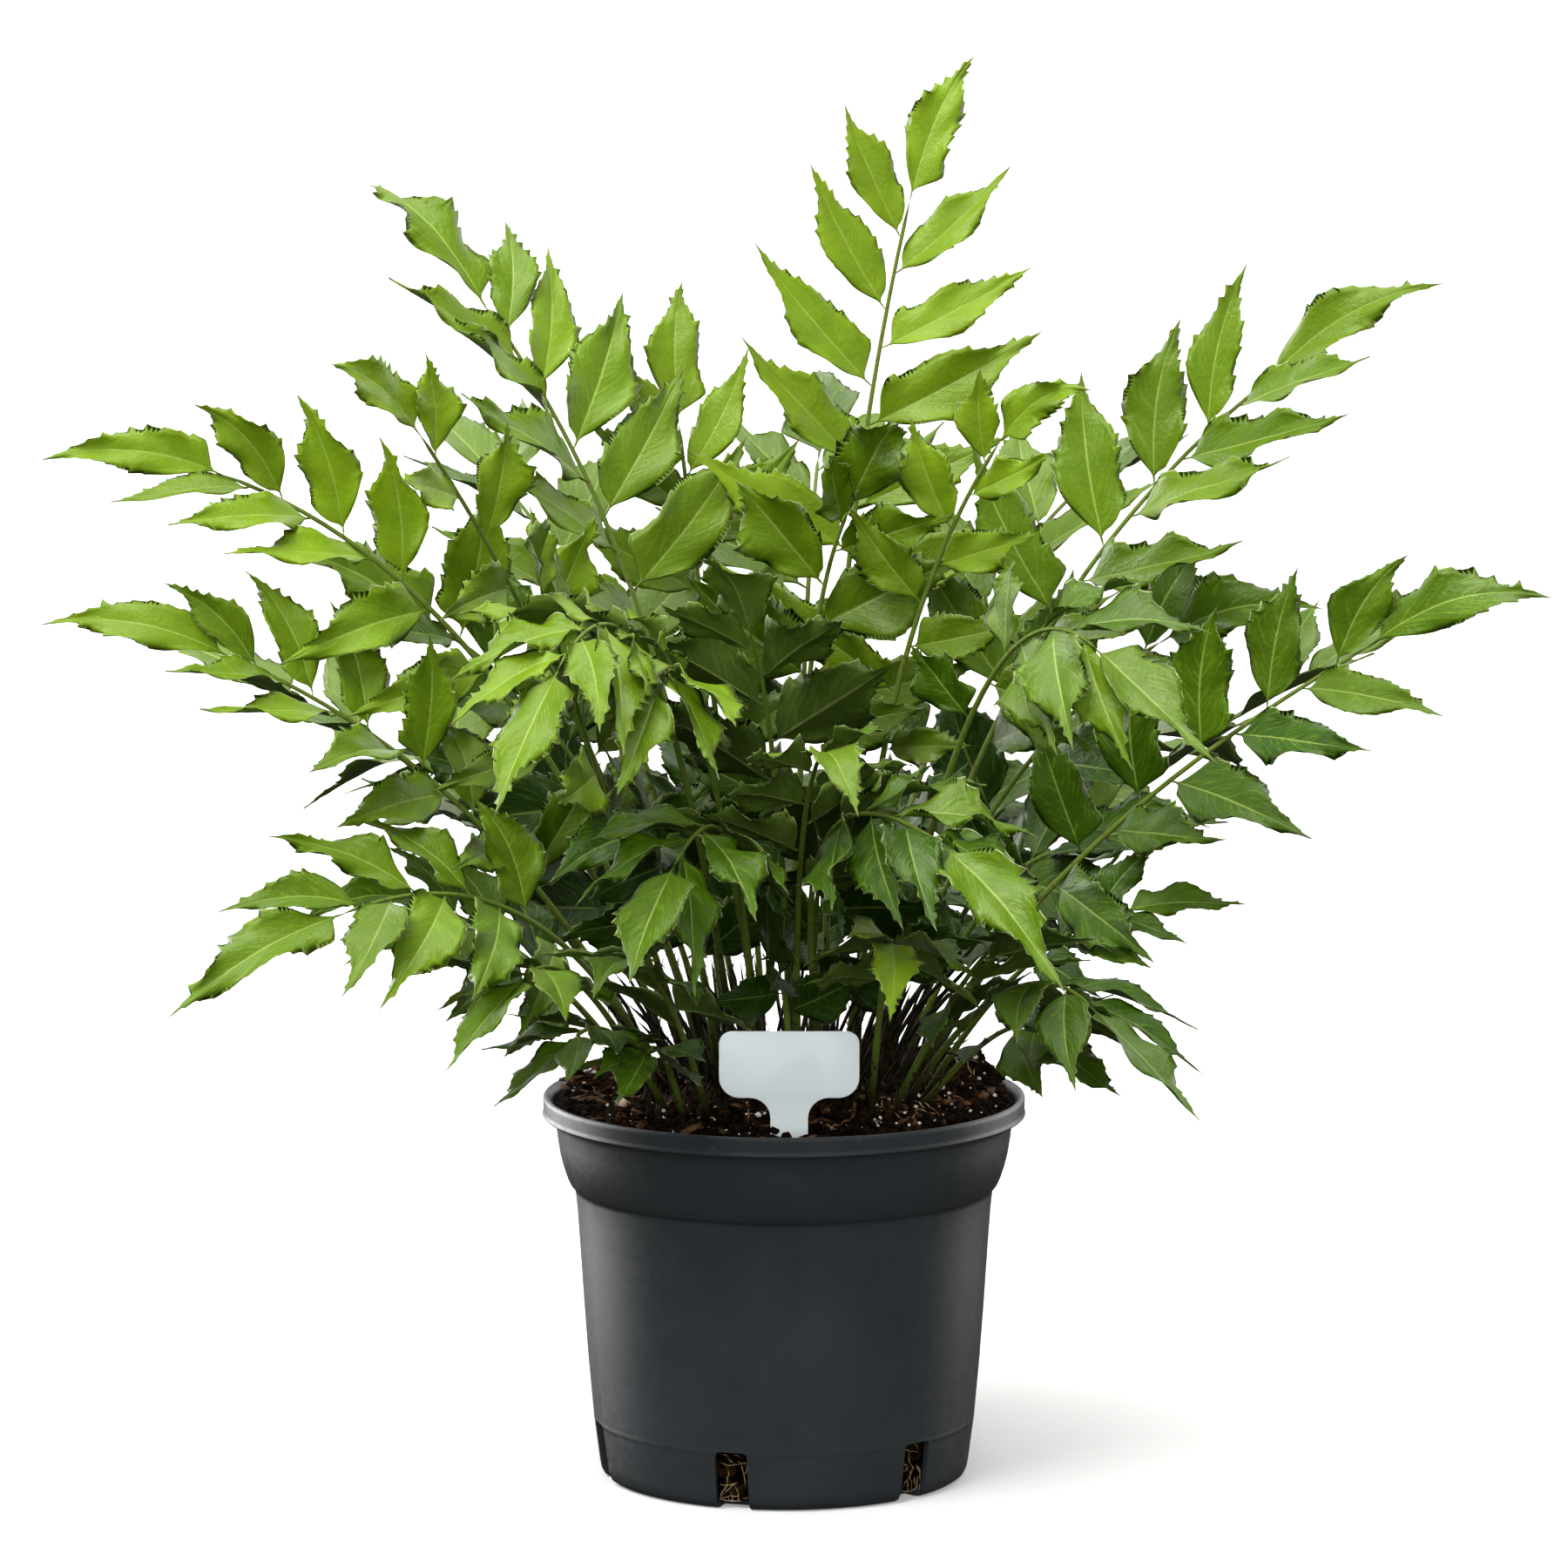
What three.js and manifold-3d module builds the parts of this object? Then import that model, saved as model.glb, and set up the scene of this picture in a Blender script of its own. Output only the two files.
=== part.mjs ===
// A young fortunes holly fern in a nursery pot, in millimetres. +Z is up, and the origin is the centre
// of the pot's base. The front, where the plant label stands, looks towards -Y.
import * as THREE from 'three';
import { mergeVertices } from 'three/addons/utils/BufferGeometryUtils.js';
import Module from 'manifold-3d';

const wasm = await Module();
wasm.setup();

// Driving dimensions.
const potHeight = 152;
const potSides = 28;
const lipRadius = 95;
const slotWidth = 13;
const slotHeight = 23.7;
const slotReach = [61, 90];
const slotCount = 6;
const firstSlotTurn = -16;
const soilEdgeHeight = 148;
const soilMound = 11;
const gap = 0.3;
const labelHead = { width: 54, height: 26, corner: 5 };
const labelNeck = 14.5;
const labelLength = 100;
const labelThickness = 1;
const labelPlace = { x: 2, y: -75, top: 190 };
const crownDepth = 148;
const crownShape = { radius: 60, lobes: 5, lobe: 4, foot: 137, shoulder: 155, top: 163, forward: -6 };
const crownSides = 15;
const stemFoot = 2.3;
const stemTop = 1;
const stemSides = 4;
const lastStation = 0.95;
const bladeThickness = 1.1;

// The pot's section, as radius and height: up the outside, then down the inside to the floor.
const potOutside = [
  [0, 0], [67, 0], [71.6, 1.6], [72.8, 6], [82.5, 115.6], [84.6, 117.7], [87.1, 125], [89.8, 139.8],
  [94.2, 143.5], [lipRadius, 146.5], [lipRadius, 149.5], [94, potHeight], [92.2, potHeight],
];
const potInside = [[87.8, 140], [85.1, 125.6], [82.2, 118], [80.2, 113], [71, 8], [68.5, 3], [0, 3]];

const fronds = [
  frond('tall', [17, 10], [23, 30, 333], [50, 69, 499], [12, 84, 0.42, 0.16], [4, 5, 12, 0.1]),
  frond('left_top', [-21, 15], [-53, 40, 325], [-118, 78, 454], [11, 95, 0.45, 0.165], [45, 15, 24, 0.2]),
  frond('left_high', [-34, 0], [-110, -10, 313], [-218, -19, 399], [11, 82, 0.4, 0.165], [0, 35, 36, 0.22]),
  frond('left_mid', [-44, -10], [-115, -40, 262], [-213, -58, 333], [11, 78, 0.4, 0.165], [0, 50, 38, 0.22]),
  frond('left_low', [-42, -25], [-97, -70, 232], [-167, -120, 243], [8, 76, 0.42, 0.175], [0, 50, 10, 0.2]),
  frond('left_small', [-46, -35], [-76, -80, 207], [-98, -112, 218], [5, 56, 0.5, 0.22], [0, 84, -10, 0.12]),
  frond('soil_left', [-44, -45], [-63, -70, 186], [-80, -88, 190], [5, 46, 0.5, 0.26], [0, 84, 0, 0.06]),
  frond('right_top', [38, 10], [91, 20, 311], [189, 29, 430], [11, 92, 0.42, 0.165], [-34, 30, 28, 0.14]),
  frond('right_mid', [46, -15], [110, -45, 248], [225, -68, 339], [11, 86, 0.4, 0.17], [0, 40, 36, 0.2]),
  frond('right_low', [51, -25], [89, -50, 207], [130, -70, 236], [7, 54, 0.42, 0.19], [0, 50, 15, 0.15]),
  frond('right_bottom', [44, -35], [83, -85, 206], [116, -122, 208], [6, 66, 0.45, 0.2], [0, 84, -10, 0.2]),
  frond('front_right', [34, -38], [72, -100, 318], [116, -162, 350], [8, 64, 0.48, 0.24], [5, 40, -4, 0.26]),
  frond('front_low_right', [20, -47], [14, -98, 264], [60, -160, 275], [8, 64, 0.5, 0.25], [5, 50, -8, 0.28]),
  frond('front_low_left', [-12, -50], [-19, -104, 262], [-41, -162, 268], [7, 58, 0.5, 0.25], [0, 60, -8, 0.28]),
  frond('front_left', [-16, -38], [-48, -108, 328], [-84, -172, 343], [8, 62, 0.5, 0.24], [0, 60, -6, 0.25]),
  frond('front_mid', [-4, -40], [-30, -98, 304], [-47, -152, 334], [7, 60, 0.52, 0.24], [10, 60, -6, 0.25]),
  frond('left_light', [-24, -12], [-78, -50, 303], [-138, -100, 424], [7, 64, 0.46, 0.21], [40, 25, 20, 0.2]),
  frond('left_inner', [-30, -28], [-70, -72, 285], [-92, -115, 368], [7, 60, 0.42, 0.24], [60, 30, 5, 0.2]),
  frond('right_light', [29, 0], [41, -20, 302], [83, -40, 414], [8, 60, 0.46, 0.2], [-20, 20, 20, 0.2]),
  frond('centre_back', [-7, 30], [-28, 60, 301], [-42, 90, 407], [8, 70, 0.42, 0.19], [10, 10, 20, 0.1]),
  frond('front_centre', [6, -42], [6, -88, 252], [14, -146, 308], [7, 56, 0.48, 0.24], [0, 86, -8, 0.3]),
  frond('centre_small', [33, -54], [38, -86, 212], [41, -118, 232], [5, 52, 0.5, 0.25], [0, 86, -10, 0.35]),
  frond('inner_left', [-28, 6], [-72, 15, 265], [-135, 10, 335], [6, 76, 0.36, 0.24], [10, 50, 20, 0.15]),
  frond('inner_right', [27, 14], [82, 25, 260], [148, 10, 330], [6, 76, 0.36, 0.24], [-10, 50, 20, 0.15]),
  frond('inner_front', [3, -28], [-2, -60, 270], [-12, -95, 345], [7, 72, 0.36, 0.25], [0, 84, 5, 0.2]),
  frond('inner_centre', [3, 4], [8, -5, 300], [25, -20, 385], [7, 74, 0.36, 0.24], [0, 30, 15, 0.2]),
  frond('low_left', [-50, -15], [-92, -35, 205], [-138, -55, 236], [7, 56, 0.42, 0.23], [0, 50, 10, 0.25]),
  frond('low_right', [40, -48], [62, -85, 200], [80, -125, 232], [6, 54, 0.42, 0.25], [0, 84, -8, 0.2]),
  frond('low_front', [-28, -54], [-42, -95, 200], [-55, -130, 226], [6, 54, 0.42, 0.25], [0, 84, -8, 0.2]),
  frond('back_left_low', [-34, 30], [-82, 85, 232], [-140, 150, 262], [6, 73, 0.42, 0.23], [0, 80, 10, 0.3]),
  frond('back_left_high', [-22, 28], [-66, 85, 300], [-118, 160, 378], [6, 80, 0.42, 0.22], [0, 80, 20, 0.12]),
  frond('back_high', [3, 30], [8, 95, 305], [14, 165, 385], [6, 82, 0.42, 0.22], [0, 80, 20, 0.12]),
  frond('back_low', [12, 44], [18, 120, 240], [24, 205, 280], [5, 75, 0.42, 0.21], [0, 80, 5, 0.3]),
  frond('back_right_high', [24, 30], [66, 85, 298], [122, 158, 374], [6, 80, 0.42, 0.22], [0, 80, 20, 0.12]),
  frond('back_right_low', [42, 30], [88, 85, 236], [142, 150, 272], [6, 73, 0.42, 0.23], [0, 80, 10, 0.3]),
  frond('back_left_side', [-48, 10], [-116, 48, 245], [-195, 88, 296], [6, 79, 0.4, 0.23], [0, 80, 28, 0.1]),
  frond('back_right_side', [50, 8], [120, 42, 246], [206, 82, 304], [6, 79, 0.4, 0.23], [0, 80, 28, 0.1]),
  frond('back_centre_low', [-14, 46], [-34, 112, 226], [-60, 178, 238], [5, 70, 0.45, 0.23], [0, 80, -5, 0.35]),
  frond('back_small', [32, 46], [54, 100, 208], [74, 145, 216], [5, 54, 0.45, 0.2], [0, 80, -5, 0.45]),
  frond('soil_front', [-38, -52], [-46, -74, 179], [-52, -98, 186], [4, 42, 0.5, 0.27], [0, 84, 0, 0.06]),
  frond('behind_label', [1, -58], [1, -66, 196], [-5, -77, 215], [5, 50, 0.5, 0.25], [0, 60, 0, 0.15]),
  frond('soil_right', [50, -31], [80, -56, 184], [98, -78, 190], [5, 48, 0.45, 0.26], [0, 84, 0, 0.08]),
  frond('mid_left', [-24, -22], [-36, -52, 232], [-50, -80, 266], [6, 66, 0.36, 0.27], [0, 50, 0, 0.2]),
  frond('mid_centre', [10, -18], [12, -44, 222], [14, -70, 250], [6, 66, 0.36, 0.27], [0, 50, 0, 0.2]),
  frond('mid_right', [22, -26], [35, -50, 232], [54, -80, 262], [6, 66, 0.36, 0.27], [0, 50, 0, 0.2]),
  frond('deep_left', [-42, 18], [-68, 20, 222], [-96, 18, 262], [6, 68, 0.36, 0.27], [0, 50, 10, 0.15]),
  frond('deep_right', [42, 0], [74, -4, 220], [106, -12, 250], [6, 68, 0.36, 0.27], [0, 50, 10, 0.15]),
  frond('deep_centre', [-8, 38], [-12, 58, 214], [-22, 76, 250], [6, 68, 0.34, 0.27], [0, 60, 0, 0.15]),
  frond('deep_back_left', [-26, 42], [-46, 66, 212], [-68, 84, 242], [6, 68, 0.34, 0.27], [0, 60, 0, 0.15]),
  frond('deep_back_right', [22, 40], [44, 62, 212], [66, 82, 240], [6, 68, 0.34, 0.27], [0, 60, 0, 0.15]),
];

const upright = new THREE.Vector3(0, 0, 1);

// A closed geometry as a solid, and a solid as a geometry.
function meshSolid(vertProperties, triVerts) {
  return new wasm.Manifold(new wasm.Mesh({ numProp: 3, vertProperties, triVerts }));
}

function toSolid(geometry) {
  const bare = geometry.clone();
  bare.deleteAttribute('normal');
  bare.deleteAttribute('uv');
  const { attributes, index } = mergeVertices(bare, 1e-4);
  return meshSolid(attributes.position.array, Uint32Array.from(index.array));
}

function solidFrom(points, faces) {
  const places = Float32Array.from(points.flatMap((point) => point.toArray()));
  return meshSolid(places, Uint32Array.from(faces.flat()));
}

function toGeometry(solid) {
  const { vertProperties, triVerts } = solid.getMesh();
  const geometry = new THREE.BufferGeometry();
  geometry.setAttribute('position', new THREE.BufferAttribute(Float32Array.from(vertProperties), 3));
  geometry.setIndex(new THREE.BufferAttribute(Uint32Array.from(triVerts), 1));
  geometry.computeVertexNormals();
  return geometry;
}

// A section of [radius, height] points turned about the upright axis.
function turned(section, sides) {
  const points = section.map(([radius, height]) => new THREE.Vector2(radius, height));
  return new THREE.LatheGeometry(points, sides).rotateX(Math.PI / 2);
}

function potSolid() {
  let pot = toSolid(turned([...potOutside, ...potInside], potSides));
  const [near, far] = slotReach;
  for (let i = 0; i < slotCount; i += 1) {
    const cutter = new THREE.BoxGeometry(far - near, slotWidth, slotHeight + 1);
    cutter.translate((near + far) / 2, 0, (slotHeight - 1) / 2);
    cutter.rotateZ(THREE.MathUtils.degToRad(-90 + firstSlotTurn + (i * 360) / slotCount));
    pot = pot.subtract(toSolid(cutter));
  }
  return pot;
}

// The mix follows the inside of the pot and heaps up a little at the middle, with a rough top.
function soilSolid() {
  const side = potInside.slice(0, -1).reverse().map(([radius, height]) => [radius - gap, height + gap]);
  const top = [0.9, 0.6, 0.3, 0].map((part) => {
    const radius = part * side.at(-1)[0];
    return [radius, soilEdgeHeight + soilMound * (1 - part * part)];
  });
  const geometry = turned([[0, side[0][1]], ...side, ...top], potSides);
  const place = geometry.attributes.position;
  for (let i = 0; i < place.count; i += 1) {
    const [x, y, z] = [place.getX(i), place.getY(i), place.getZ(i)];
    const rough = 1.6 * Math.sin(x * 0.19 + 1) * Math.cos(y * 0.23) + 1.1 * Math.sin(x * 0.41 - y * 0.37);
    place.setZ(i, z > soilEdgeHeight - 1 ? z + rough : z);
  }
  return toSolid(geometry);
}

// The crown is a low lobed clump with a bumpy top. grow makes the pocket that it sits in.
function crownSolid(grow) {
  const { radius, lobes, lobe, foot, shoulder, top, forward } = crownShape;
  const section = [[0, foot], [1, foot], [1, shoulder], [0.7, top - 1], [0, top]];
  const geometry = turned(section, crownSides);
  const place = geometry.attributes.position;
  for (let i = 0; i < place.count; i += 1) {
    const [x, y, z] = [place.getX(i), place.getY(i), place.getZ(i)];
    const reach = radius + lobe * Math.cos(lobes * Math.atan2(y, x)) + grow;
    const bump = z > shoulder ? grow + 1.5 * Math.sin(7 * x + 1) * Math.cos(8 * y) : 0;
    const sink = z < shoulder ? grow : 0;
    place.setXYZ(i, x * reach, y * reach + forward, z + bump - sink);
  }
  return toSolid(geometry);
}

function labelOutline(extra) {
  const { width, height, corner } = labelHead;
  const [half, neck] = [width / 2 + extra, labelNeck / 2 + extra];
  const foot = -labelLength;
  const outline = new THREE.Shape();
  outline.moveTo(0, foot - extra);
  outline.lineTo(neck, foot + 16);
  outline.lineTo(neck, -height - 6);
  outline.quadraticCurveTo(neck, -height, neck + 7, -height);
  outline.lineTo(half - corner, -height);
  outline.absarc(half - corner, -height + corner, corner, -Math.PI / 2, 0);
  outline.absarc(half - corner, -corner, corner, 0, Math.PI / 2);
  outline.absarc(-half + corner, -corner, corner, Math.PI / 2, Math.PI);
  outline.absarc(-half + corner, -height + corner, corner, Math.PI, Math.PI * 1.5);
  outline.lineTo(-neck - 7, -height);
  outline.quadraticCurveTo(-neck, -height, -neck, -height - 6);
  outline.lineTo(-neck, foot + 16);
  outline.closePath();
  return outline;
}

function labelSolid(extra) {
  const depth = labelThickness + 2 * extra;
  const options = { depth, bevelEnabled: false, curveSegments: 2 };
  const sheet = new THREE.ExtrudeGeometry(labelOutline(extra), options);
  sheet.rotateX(Math.PI / 2);
  sheet.translate(labelPlace.x, labelPlace.y + depth / 2, labelPlace.top);
  return toSolid(sheet);
}

// The same number between -1 and 1 each time for a seed and a count.
function chance(seed, k) {
  const v = Math.sin(seed * 12.9898 + k * 78.233) * 43758.5453;
  return 2 * (v - Math.floor(v)) - 1;
}

// One frond: where its stem leaves the crown, a point half way along, where the stem ends, its leaflets
// as [how many, the longest, the part of the stem that is bare, half their breadth as a part of their
// length], and its pose as the way its upper face looks [degrees round from the front, degrees up],
// how far the leaflets fold up, and how far they hang.
function frond(name, root, waist, end, [count, size, bare, broad], [turn, rise, fold, hang]) {
  const start = new THREE.Vector3(root[0], root[1], crownDepth);
  const finish = new THREE.Vector3(...end);
  const bend = new THREE.Vector3(...waist).multiplyScalar(2).addScaledVector(start, -0.5)
    .addScaledVector(finish, -0.5);
  const [a, b] = [turn, rise].map(THREE.MathUtils.degToRad);
  const look = new THREE.Vector3(Math.sin(a) * Math.cos(b), -Math.cos(a) * Math.cos(b), Math.sin(b));
  const seed = [...name].reduce((sum, letter, k) => sum + (k + 1) * letter.charCodeAt(0), 0);
  const curve = new THREE.QuadraticBezierCurve3(start, bend, finish);
  return { name, curve, count, size, bare, broad, look, fold, hang, seed };
}

// A place on the stem, with the directions along it, out of its upper face and to its side.
function stemFrame({ curve, look }, t) {
  const point = curve.getPoint(t);
  const { v0, v1, v2 } = curve;
  const along = new THREE.Vector3().addScaledVector(v0, t - 1).addScaledVector(v1, 1 - 2 * t)
    .addScaledVector(v2, t).normalize();
  const up = look.clone().addScaledVector(along, -look.dot(along)).normalize();
  return { point, along, up, side: up.clone().cross(along) };
}

// Where a leaflet stands along the stem, closer together towards the tip.
function stationOf({ count, bare }, i) {
  return bare + (lastStation - bare) * (i / (count - 1)) ** 0.9;
}

// Leaflets stand by turns left and right, long in the middle and leaning on towards the tip.
function sideLeaflets(row) {
  const { count, size, broad, fold, hang, seed } = row;
  const first = chance(seed, 0.5) > 0 ? -1 : 1;
  return Array.from({ length: count }, (_, i) => {
    const u = i / (count - 1);
    const r = Array.from({ length: 7 }, (_unused, k) => chance(seed, 8 * i + k));
    return {
      ...stemFrame(row, stationOf(row, i)),
      hand: i % 2 ? first : -first,
      lean: 68 - 25 * u + 6 * r[0],
      lift: fold + 8 * r[1],
      length: size * (0.8 + 0.6 * u - 0.66 * u * u) * (1 + 0.08 * r[2]),
      wide: broad * (1 + 0.12 * r[3]),
      hook: 0.17 + 0.06 * r[4],
      droop: hang * (1 + 0.4 * r[5]),
      twist: 12 * r[6] - 6,
    };
  });
}

// The end leaflet carries on along the stem, and hangs less where the stem already arches down.
function endLeaflet(row) {
  const { size, broad, fold, hang, seed } = row;
  const r = Array.from({ length: 7 }, (_, k) => chance(seed, 900 + k));
  const place = stemFrame(row, 0.993);
  return {
    ...place,
    hand: r[0] > 0 ? 1 : -1,
    lean: 0,
    lift: 0.3 * fold + 6 * r[1],
    length: size * (1.1 + 0.1 * r[2]),
    wide: 0.97 * broad,
    hook: 0.08 + 0.05 * r[4],
    droop: hang * Math.min(2, Math.max(0, 1.2 + 2 * place.along.z)) + 0.06 * r[5],
    twist: 8 * r[6],
  };
}

// The leaflet's own directions: out along its rib, across towards the frond's tip, and out of its face.
function leafletAxes({ along, up, side, hand, lean, lift, twist }, extraLift) {
  const [leaning, lifting, twisting] = [lean, lift + extraLift, twist].map(THREE.MathUtils.degToRad);
  const ahead = along.clone();
  const rib = new THREE.Vector3();
  const fore = new THREE.Vector3();
  if (lean === 0) {
    rib.addScaledVector(along, Math.cos(lifting)).addScaledVector(up, Math.sin(lifting));
    fore.addScaledVector(side, -hand);
  } else {
    const out = side.clone().multiplyScalar(hand * Math.cos(lifting)).addScaledVector(up, Math.sin(lifting));
    rib.addScaledVector(along, Math.cos(leaning)).addScaledVector(out, Math.sin(leaning));
    fore.copy(ahead).addScaledVector(rib, -along.dot(rib)).normalize();
  }
  const face = fore.clone().cross(rib).multiplyScalar(hand);
  return {
    rib,
    fore: fore.clone().multiplyScalar(Math.cos(twisting)).addScaledVector(face, Math.sin(twisting)),
    face: face.clone().multiplyScalar(Math.cos(twisting)).addScaledVector(fore, -Math.sin(twisting)),
  };
}

// A point of the blade: u runs from foot to tip, v from the rear margin at -1 over the rib to the fore
// margin at 1, which keeps off the stem.
function leafletPoint(leaf, { rib, fore, face }, size, u, v) {
  const length = leaf.length * size;
  const half = leaf.wide * length;
  const room = leaf.lean > 0 ? 0.6 * u * length * Math.tan(THREE.MathUtils.degToRad(leaf.lean)) : half;
  return leaf.point.clone()
    .addScaledVector(rib, u * length)
    .addScaledVector(fore, leaf.hook * length * u * u + Math.min(v * half, room))
    .addScaledVector(face, 0.22 * Math.abs(v) * half)
    .addScaledVector(upright, -leaf.droop * length * u * u);
}

// The margins as [u, v] from foot to tip, with an ear at the foot and a drawn-out tip, and the rib.
const foreMargin = [[0, 0], [0.075, 0.07], [0.16, 1], [0.54, 0.87], [0.66, 0.54], [1, 0]];
const rearMargin = [[0, 0], [0.075, -0.07], [0.42, -0.97], [1, 0]];
const ribStations = [0.075, 0.6];

// Triangles between a margin and the rib. Each one has a rib point, so both faces are split alike.
function marginStrip(margin, marginIndex, ribIndex) {
  const strip = [[marginIndex[0], marginIndex[1], ribIndex[0]]];
  let rib = 0;
  for (let i = 1; i < margin.length - 1; i += 1) {
    while (rib + 1 < ribStations.length && ribStations[rib + 1] <= margin[i + 1][0]) {
      strip.push([marginIndex[i], ribIndex[rib + 1], ribIndex[rib]]);
      rib += 1;
    }
    strip.push([marginIndex[i], marginIndex[i + 1], ribIndex[rib]]);
  }
  return strip;
}

function leafletSolid(leaf, extraLift, size) {
  const axes = leafletAxes(leaf, extraLift);
  const points = [];
  const put = (u, v, out) => {
    points.push(leafletPoint(leaf, axes, size, u, v).addScaledVector(axes.face, out));
    return points.length - 1;
  };
  const fore = foreMargin.map(([u, v]) => put(u, v, 0));
  const middle = rearMargin.slice(1, -1).map(([u, v]) => put(u, v, 0));
  const rear = [fore[0], ...middle, fore.at(-1)];
  const top = ribStations.map((u) => put(u, 0, bladeThickness / 2));
  const under = ribStations.map((u) => put(u, 0, -bladeThickness / 2));
  const flip = (triangles) => triangles.map(([a, b, c]) => [a, c, b]);
  const faces = [
    ...marginStrip(foreMargin, fore, top),
    ...flip(marginStrip(rearMargin, rear, top)),
    ...flip(marginStrip(foreMargin, fore, under)),
    ...marginStrip(rearMargin, rear, under),
  ];
  const outward = leaf.hand > 0 ? faces : flip(faces);
  return solidFrom(points, outward);
}

// A tapering four-sided stem, its flats to the leaflets and its rings between them. extra widens it and
// lengthens its foot, for the hole that it stands in.
function stemSolid(row, extra) {
  const points = [];
  const faces = [];
  const leafy = Array.from({ length: Math.ceil(row.count / 2) }, (_, j) => stationOf(row, 2 * j + 0.5));
  const stations = [0, row.bare / 2, ...leafy, 1];
  stations.forEach((t, j) => {
    const { point, along, up, side } = stemFrame(row, t);
    const radius = (stemFoot + (stemTop - stemFoot) * t + extra) * Math.SQRT2;
    if (j === 0) point.addScaledVector(along, -1.5 * extra);
    for (let k = 0; k < stemSides; k += 1) {
      const angle = (2 * Math.PI * (k + 0.5)) / stemSides;
      const rim = point.clone().addScaledVector(side, radius * Math.cos(angle));
      points.push(rim.addScaledVector(up, radius * Math.sin(angle)));
      const [here, next] = [j * stemSides + k, j * stemSides + ((k + 1) % stemSides)];
      if (j < stations.length - 1) {
        faces.push([here, next, here + stemSides], [next, next + stemSides, here + stemSides]);
      }
    }
  });
  const last = points.length - stemSides;
  for (let k = 1; k < stemSides - 1; k += 1) {
    faces.push([0, k + 1, k], [last, last + k, last + k + 1]);
  }
  return solidFrom(points, faces);
}

// Solids that are already in place, each with the frond that it belongs to.
const placed = [];
function settle(solid, owner, kind) {
  placed.push({ solid, owner, kind, box: boxOf(solid) });
}

function boxOf(solid) {
  const { min, max } = solid.boundingBox();
  return new THREE.Box3(new THREE.Vector3(...min), new THREE.Vector3(...max));
}

// A leaflet keeps clear of every other frond, and where it can of the leaflets on its own stem.
function isClear(solid, owner, mindOwn) {
  const box = boxOf(solid).expandByScalar(gap);
  return placed.every((other) => {
    const own = other.owner === owner;
    if (own && (other.kind === 'stem' || !mindOwn)) return true;
    return !box.intersectsBox(other.box) || solid.minGap(other.solid, 2 * gap) > gap * 0.9;
  });
}

const lifts = [0, 14, -14, 28, -28, 42, -42];
const sizes = [1, 0.84, 0.68];

function placeLeaflet(leaf, owner) {
  for (const mindOwn of [true, false]) {
    for (const size of sizes) {
      for (const lift of lifts) {
        const solid = leafletSolid(leaf, lift, size);
        if (isClear(solid, owner, mindOwn)) return solid;
      }
    }
  }
  return null;
}

function frondSolid(row, stem) {
  const leaflets = [];
  for (const leaf of [endLeaflet(row), ...sideLeaflets(row)]) {
    const solid = placeLeaflet(leaf, row.name);
    if (solid) {
      leaflets.push(solid);
      settle(solid, row.name, 'leaflet');
    }
  }
  return wasm.Manifold.union([stem, ...leaflets]);
}

function finish(color, roughness) {
  return new THREE.MeshStandardMaterial({ color, roughness, metalness: 0 });
}

const stems = fronds.map((row) => stemSolid(row, 0));
const stemHoles = wasm.Manifold.union(fronds.map((row) => stemSolid(row, gap)));
const label = labelSolid(0);
const crown = crownSolid(0).subtract(stemHoles);
const soil = soilSolid().subtract(crownSolid(gap)).subtract(stemHoles).subtract(labelSolid(gap));
const pot = potSolid();

settle(pot, 'pot', 'pot');
settle(soil, 'soil', 'soil');
settle(crown, 'crown', 'crown');
settle(label, 'label', 'label');
fronds.forEach((row, i) => settle(stems[i], row.name, 'stem'));

const group = new THREE.Group();
function include(name, solid, material) {
  const mesh = new THREE.Mesh(toGeometry(solid), material);
  mesh.name = name;
  group.add(mesh);
}

include('nursery_pot', pot, finish('#33363b', 0.45));
include('potting_mix', soil, finish('#2e211a', 0.95));
include('fern_crown', crown, finish('#4a3423', 0.9));
include('plant_label', label, finish('#e4eaee', 0.4));
fronds.forEach((row, i) => {
  include(`frond_${row.name}`, frondSolid(row, stems[i]), finish('#4f8a28', 0.4));
});

export default group;
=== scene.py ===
# A young fortunes holly fern in a round nursery pot, with a bare plant label in the potting mix.
# Lengths in the settings are millimetres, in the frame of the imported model. Only the camera and the
# lights have their places in metres.
import math

import bmesh
import bpy
from mathutils import Matrix, Vector, kdtree, noise


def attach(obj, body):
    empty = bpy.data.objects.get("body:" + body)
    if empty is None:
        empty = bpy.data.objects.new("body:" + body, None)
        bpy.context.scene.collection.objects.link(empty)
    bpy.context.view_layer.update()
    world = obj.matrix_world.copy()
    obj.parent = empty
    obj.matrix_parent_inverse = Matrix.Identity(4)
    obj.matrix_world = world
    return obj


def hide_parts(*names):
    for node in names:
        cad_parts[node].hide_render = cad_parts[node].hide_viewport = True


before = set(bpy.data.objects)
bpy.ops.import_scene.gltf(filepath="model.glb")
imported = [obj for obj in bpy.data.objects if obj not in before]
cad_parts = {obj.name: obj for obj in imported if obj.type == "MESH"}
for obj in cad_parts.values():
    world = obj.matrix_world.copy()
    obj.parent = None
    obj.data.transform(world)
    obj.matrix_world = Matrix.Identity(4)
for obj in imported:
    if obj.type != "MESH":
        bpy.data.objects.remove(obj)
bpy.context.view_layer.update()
millimetre = 0.001
upright = Vector((0, 0, 1))
print("frame loaded:", len(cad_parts), "nodes")


def linearColour(hexText):
    # sRGB hex to the linear values that the shaders use
    parts = [int(hexText[i:i + 2], 16) / 255 for i in (0, 2, 4)]
    return tuple(c / 12.92 if c <= 0.04045 else ((c + 0.055) / 1.055) ** 2.4 for c in parts) + (1.0,)


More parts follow.
